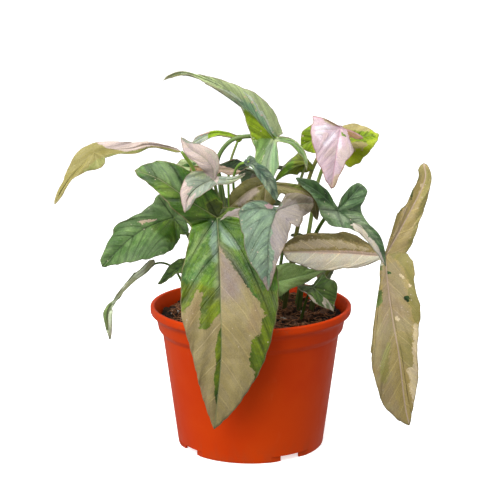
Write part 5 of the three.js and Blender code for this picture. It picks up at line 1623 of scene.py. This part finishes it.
def make_pot():
    profile = pot_profile()
    sides = POT["sides"]
    turns = np.arange(sides) * FULL_TURN / sides
    points = [(0, 0, profile[0][1])]
    for r, z in profile[1:-1]:
        points += [(r * math.cos(t), r * math.sin(t), z) for t in turns]
    points.append((0, 0, profile[-1][1]))
    last = len(points) - 1
    rings = len(profile) - 2
    _, walls = fan_faces(sides, rings)
    faces = []
    for i in range(sides):
        faces += walls[i * rings:(i + 1) * rings]
        faces.append((last - sides + i, last - sides + (i + 1) % sides, last))
    pot = make_object("fine_pot", points, faces, [pot_paint()])
    cutters = []
    for k in range(NOTCH["count"]):
        turn = math.radians(NOTCH["first"] + k * 360 / NOTCH["count"])
        cutters.append(notch_cutter(turn, NOTCH["degrees"], POT["foot"] - NOTCH["reach"]))
        cutters.append(drain_cutter(turn))
        cutters.append(notch_cutter(turn, NOTCH["wide_degrees"], POT["foot"] - NOTCH["wide_depth"]))
    for cutter in cutters:
        cut = pot.modifiers.new("cut", "BOOLEAN")
        cut.operation, cut.solver, cut.object = "DIFFERENCE", "EXACT", cutter
    bpy.context.view_layer.update()
    cut_pot = pot.evaluated_get(bpy.context.evaluated_depsgraph_get())
    shaped = bpy.data.meshes.new_from_object(cut_pot)
    pot.modifiers.clear()
    pot.data = shaped
    for cutter in cutters:
        bpy.data.objects.remove(cutter)
    shaped.polygons.foreach_set("use_smooth", [True] * len(shaped.polygons))
    shaped.set_sharp_from_angle(angle=math.radians(SHARP_DEGREES))
    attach(pot, "root")
    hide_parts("pot")


def notch_cutter(turn, degrees, near):
    """A block with rounded upper corners, set across the foot ring from near outward."""
    half_width = POT["foot"] * math.radians(degrees) / 2
    corner, steps = NOTCH["corner"], NOTCH["corner_steps"]
    outline = [(-half_width, NOTCH["below"])]
    for side in (-1, 1):
        for k in range(steps + 1):
            angle = math.pi / 2 * (k if side < 0 else steps - k) / steps
            across = side * (half_width - corner + corner * math.cos(angle))
            outline.append((across, NOTCH["height"] - corner + corner * math.sin(angle)))
    outline.append((half_width, NOTCH["below"]))
    return prism("notch", outline[::-1], near, POT["foot"] + NOTCH["reach"], turn)


def prism(name, outline, near, far, turn):
    """An outline in the plane across a radius, carried from near to far along it."""
    points, count = [], len(outline)
    cosine, sine = math.cos(turn), math.sin(turn)
    for x in (near, far):
        points += [(x * cosine - y * sine, x * sine + y * cosine, z) for y, z in outline]
    faces = [tuple(reversed(range(count))), tuple(range(count, 2 * count))]
    faces += [(k, (k + 1) % count, count + (k + 1) % count, count + k) for k in range(count)]
    return make_object(name, points, faces, [])


def drain_cutter(turn):
    x, y = DRAIN["ring"] * math.cos(turn), DRAIN["ring"] * math.sin(turn)
    path = np.array([(x, y, z) for z in DRAIN["heights"]])
    points, faces, _, _ = tube(path, [DRAIN["radius"]] * len(path), DRAIN["sides"])
    return make_object("drain", points, faces, [])


def pot_paint():
    paint = Paint("pot_plastic")
    spot = paint.node("TexCoord", {}, "Object")
    _, _, z = paint.parts(spot)
    scuffs = paint.noise(paint.scaled(spot, (1, 1, 0.35)), 90, 4, 0.65)
    broad = paint.ramp(paint.noise(spot, 14, 3), 0.35, 0.65)
    colour = paint.mix(broad, tone(220, 70, 27), tone(228, 78, 31))
    colour = paint.mix(paint.ramp(scuffs, 0.62, 0.78, 0.0, 0.18), colour, tone(226, 120, 84))
    # Dust lies on the rim, and earth has rubbed the foot.
    dust = paint.ramp(paint.noise(spot, 220, 3, 0.7), 0.56, 0.7)
    dust = paint.times(dust, paint.times(paint.ramp(z, 0.1, 0.107), 0.35))
    colour = paint.mix(dust, colour, tone(150, 92, 66))
    rubbed = paint.times(paint.ramp(z, 0.0, 0.02, 0.25, 0.0), paint.ramp(scuffs, 0.4, 0.6))
    colour = paint.mix(rubbed, colour, tone(170, 86, 56))
    drawn = paint.noise(paint.scaled(spot, (1, 1, 14)), 26, 2)
    relief = paint.times_plus(paint.noise(spot, 900, 2), 0.35, paint.times(drawn, 0.35))
    paint.surface({
        "Base Color": colour, "Roughness": paint.ramp(scuffs, 0.3, 0.8, 0.38, 0.56),
        "Specular IOR Level": 0.06, "Normal": paint.bump(relief, 0.12, 0.0005),
    })
    return paint.material


# ---------------------------------------------------------------- potting mix

SEED = 11
SOIL = {"gap": 0.35, "turns": 150, "rings": 46, "ring_bias": 0.8}
LUMPS = {"height": 0.96, "along_x": 30, "shift_x": 0.2, "along_y": 37, "shift_y": -0.1}
RIDGES = {"height": 0.58, "along_x": 57, "along_y": 27}
# Round lumps: radii from "small" to "small" + "more", and how high for their radius.
CRUMBS = {"count": 900, "small": 1.2, "more": 3.4, "rise": 0.62, "sunk": 0.9}
# Loose bits: how many, sizes, flatness, material, and its dark and light colour.
BITS = {
    "bark_chips": (420, (2.5, 9), 0.3, "bark", (48, 31, 22), (128, 92, 66)),
    "perlite": (170, (0.9, 3.0), 0.8, "perlite", (176, 168, 156), (222, 216, 206)),
}
BITS_FROM_WALL = 4
BEVEL = {"width": 0.00035, "segments": 2}
FIBRES = {
    "count": 420, "from_wall": 8, "past": 4, "points": 7, "fewest": 4, "sides": 5,
    "material": "fibre", "dark": (112, 68, 42), "light": (186, 132, 92),
}


def soil_height(x, y):
    """The lumpy top of the solid's soil."""
    lumps = np.sin(FULL_TURN * (x / LUMPS["along_x"] + LUMPS["shift_x"]))
    lumps = lumps * np.cos(FULL_TURN * (y / LUMPS["along_y"] + LUMPS["shift_y"]))
    ridges = np.sin(FULL_TURN * (x / RIDGES["along_x"] - y / RIDGES["along_y"]))
    return SOIL_LEVEL + LUMPS["height"] * lumps + RIDGES["height"] * ridges


def crumbs(x, y, outer, rng):
    """Height of round lumps strewn inside a circle."""
    height = np.zeros_like(x)
    for _ in range(CRUMBS["count"]):
        r, a = outer * math.sqrt(rng.random()), FULL_TURN * rng.random()
        size = CRUMBS["small"] + CRUMBS["more"] * rng.random() ** 2
        gap = np.hypot(x - r * math.cos(a), y - r * math.sin(a)) / size
        rise = size * CRUMBS["rise"] * np.sqrt(np.clip(1 - gap**2, 0, 1))
        height = np.maximum(height, rise)
    return height


def make_soil(rng):
    outer = inside_radius(SOIL_LEVEL) - SOIL["gap"]
    count, rings = SOIL["turns"], SOIL["rings"]
    turns = np.arange(count) * FULL_TURN / count
    shares = (np.arange(1, rings + 1) / rings) ** SOIL["ring_bias"]
    x = np.concatenate([[0], np.outer(shares, np.cos(turns)).ravel()]) * outer
    y = np.concatenate([[0], np.outer(shares, np.sin(turns)).ravel()]) * outer
    z = soil_height(x, y) - CRUMBS["sunk"] + crumbs(x, y, outer, rng)
    points = [np.stack([x, y, z], 1)]
    _, quads = fan_faces(count, rings)
    faces = [tuple(reversed(face)) for face in quads]
    start = len(x) - count
    for level in (POT["band_low"], POT["shoulder_low"], POT["floor_top"] + SOIL["gap"]):
        r = inside_radius(level) - SOIL["gap"]
        points.append(np.stack([r * np.cos(turns), r * np.sin(turns), np.full(count, level)], 1))
        below = start + count
        for i in range(count):
            j = (i + 1) % count
            faces.append((start + j, start + i, below + i, below + j))
        start = below
    faces.append(tuple(start + k for k in reversed(range(count))))
    soil = make_object("fine_soil", np.vstack(points), faces, [soil_paint()])
    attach(soil, "root")
    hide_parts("soil")


def soil_paint():
    paint = Paint("potting_mix")
    spot = paint.node("TexCoord", {}, "Object")
    lumps = paint.noise(spot, 160, 5, 0.7)
    fine = paint.noise(spot, 700, 4, 0.7)
    colour = paint.mix(paint.ramp(lumps, 0.35, 0.68), tone(28, 20, 15), tone(66, 48, 36))
    colour = paint.mix(paint.ramp(fine, 0.6, 0.74, 0.0, 0.6), colour, tone(150, 120, 90))
    paint.surface({
        "Base Color": colour, "Roughness": 0.95, "Specular IOR Level": 0.2,
        "Normal": paint.bump(paint.plus(lumps, fine), 0.9, 0.0012),
    })
    return paint.material


def bits_paint(name, dark, light):
    paint = Paint(name)
    spot = paint.node("TexCoord", {}, "Object")
    streaks = paint.noise(paint.scaled(spot, (1, 1, 2.5)), 260, 4, 0.7)
    colour = paint.mix(paint.ramp(streaks, 0.3, 0.7), tone(*dark), tone(*light))
    paint.surface({
        "Base Color": colour, "Roughness": 0.9, "Specular IOR Level": 0.25,
        "Normal": paint.bump(streaks, 0.8, 0.0008),
    })
    return paint.material


def chip(rng, size, flatness):
    """A rough eight-cornered chip with its corners pushed about."""
    corners = np.array([(a, b, c) for a in (-1, 1) for b in (-1, 1) for c in (-1, 1)], float)
    corners *= np.array([1.0, 0.45 + 0.4 * rng.random(), flatness]) * size / 2
    corners += (rng.random((8, 3)) - 0.5) * size * 0.22
    turn = rng.random(3) * np.array([0.9, 0.9, FULL_TURN]) - np.array([0.45, 0.45, 0])
    for angle, (i, j) in zip(turn, [(1, 2), (2, 0), (0, 1)]):
        c, s = math.cos(angle), math.sin(angle)
        a, b = corners[:, i].copy(), corners[:, j].copy()
        corners[:, i], corners[:, j] = c * a - s * b, s * a + c * b
    return corners


CHIP_FACES = [(0, 1, 3, 2), (4, 6, 7, 5), (0, 4, 5, 1), (2, 3, 7, 6), (0, 2, 6, 4), (1, 5, 7, 3)]


def scatter_chips(name, rng, count, sizes, flatness, material):
    """Chips strewn over the potting mix, inside the pot's wall."""
    points, faces = [], []
    outer = inside_radius(SOIL_LEVEL) - BITS_FROM_WALL
    for _ in range(count):
        size = sizes[0] + (sizes[1] - sizes[0]) * rng.random() ** 2
        r, a = (outer - size / 2) * math.sqrt(rng.random()), FULL_TURN * rng.random()
        x, y = r * math.cos(a), r * math.sin(a)
        z = float(soil_height(x, y)) + 0.5 + 0.25 * size * rng.random()
        start = 8 * len(points)
        points.append(chip(rng, size, flatness) + (x, y, z))
        faces += [tuple(start + k for k in face) for face in CHIP_FACES]
    made = make_object(name, np.vstack(points), faces, [material])
    bevel = made.modifiers.new("round", "BEVEL")
    bevel.width, bevel.segments = BEVEL["width"], BEVEL["segments"]
    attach(made, "root")


def fibre_path(rng, outer):
    """Points of a bent fibre that lies on the potting mix, until it nears the wall."""
    r, a = outer * math.sqrt(rng.random()), FULL_TURN * rng.random()
    heading, bend = FULL_TURN * rng.random(), (rng.random() - 0.5) * 0.5
    length, lift = 5 + 12 * rng.random(), 1.6 + 3 * rng.random() ** 2
    step = length / (FIBRES["points"] - 1)
    x, y, path = r * math.cos(a), r * math.sin(a), []
    for _ in range(FIBRES["points"]):
        path.append((x, y, float(soil_height(x, y)) + lift + 0.8 * rng.random()))
        heading += bend
        x, y = x + step * math.cos(heading), y + step * math.sin(heading)
        if math.hypot(x, y) > outer + FIBRES["past"]:
            break
    return np.array(path)


def scatter_fibres(rng):
    points, faces, start = [], [], 0
    outer = inside_radius(SOIL_LEVEL) - FIBRES["from_wall"]
    for _ in range(FIBRES["count"]):
        path = fibre_path(rng, outer)
        if len(path) < FIBRES["fewest"]:
            continue
        radius = 0.22 + 0.26 * rng.random()
        radii = np.linspace(radius, radius * 0.5, len(path))
        ring_points, tube_faces, _, _ = tube(path, radii, FIBRES["sides"])
        faces += [tuple(start + k for k in face) for face in tube_faces]
        start += len(ring_points)
        points.append(ring_points)
    material = bits_paint(FIBRES["material"], FIBRES["dark"], FIBRES["light"])
    made = make_object("soil_fibres", np.vstack(points), faces, [material])
    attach(made, "root")


# ---------------------------------------------------------------- the scene

make_camera()
make_stage()
make_lights()
make_pot()
rng = np.random.default_rng(SEED)
make_soil(rng)
for name, (count, sizes, flatness, material, dark, light) in BITS.items():
    scatter_chips(name, rng, count, sizes, flatness, bits_paint(material, dark, light))
scatter_fibres(rng)
for order, leaf in enumerate(LEAVES):
    make_leaf(leaf, order + 1)
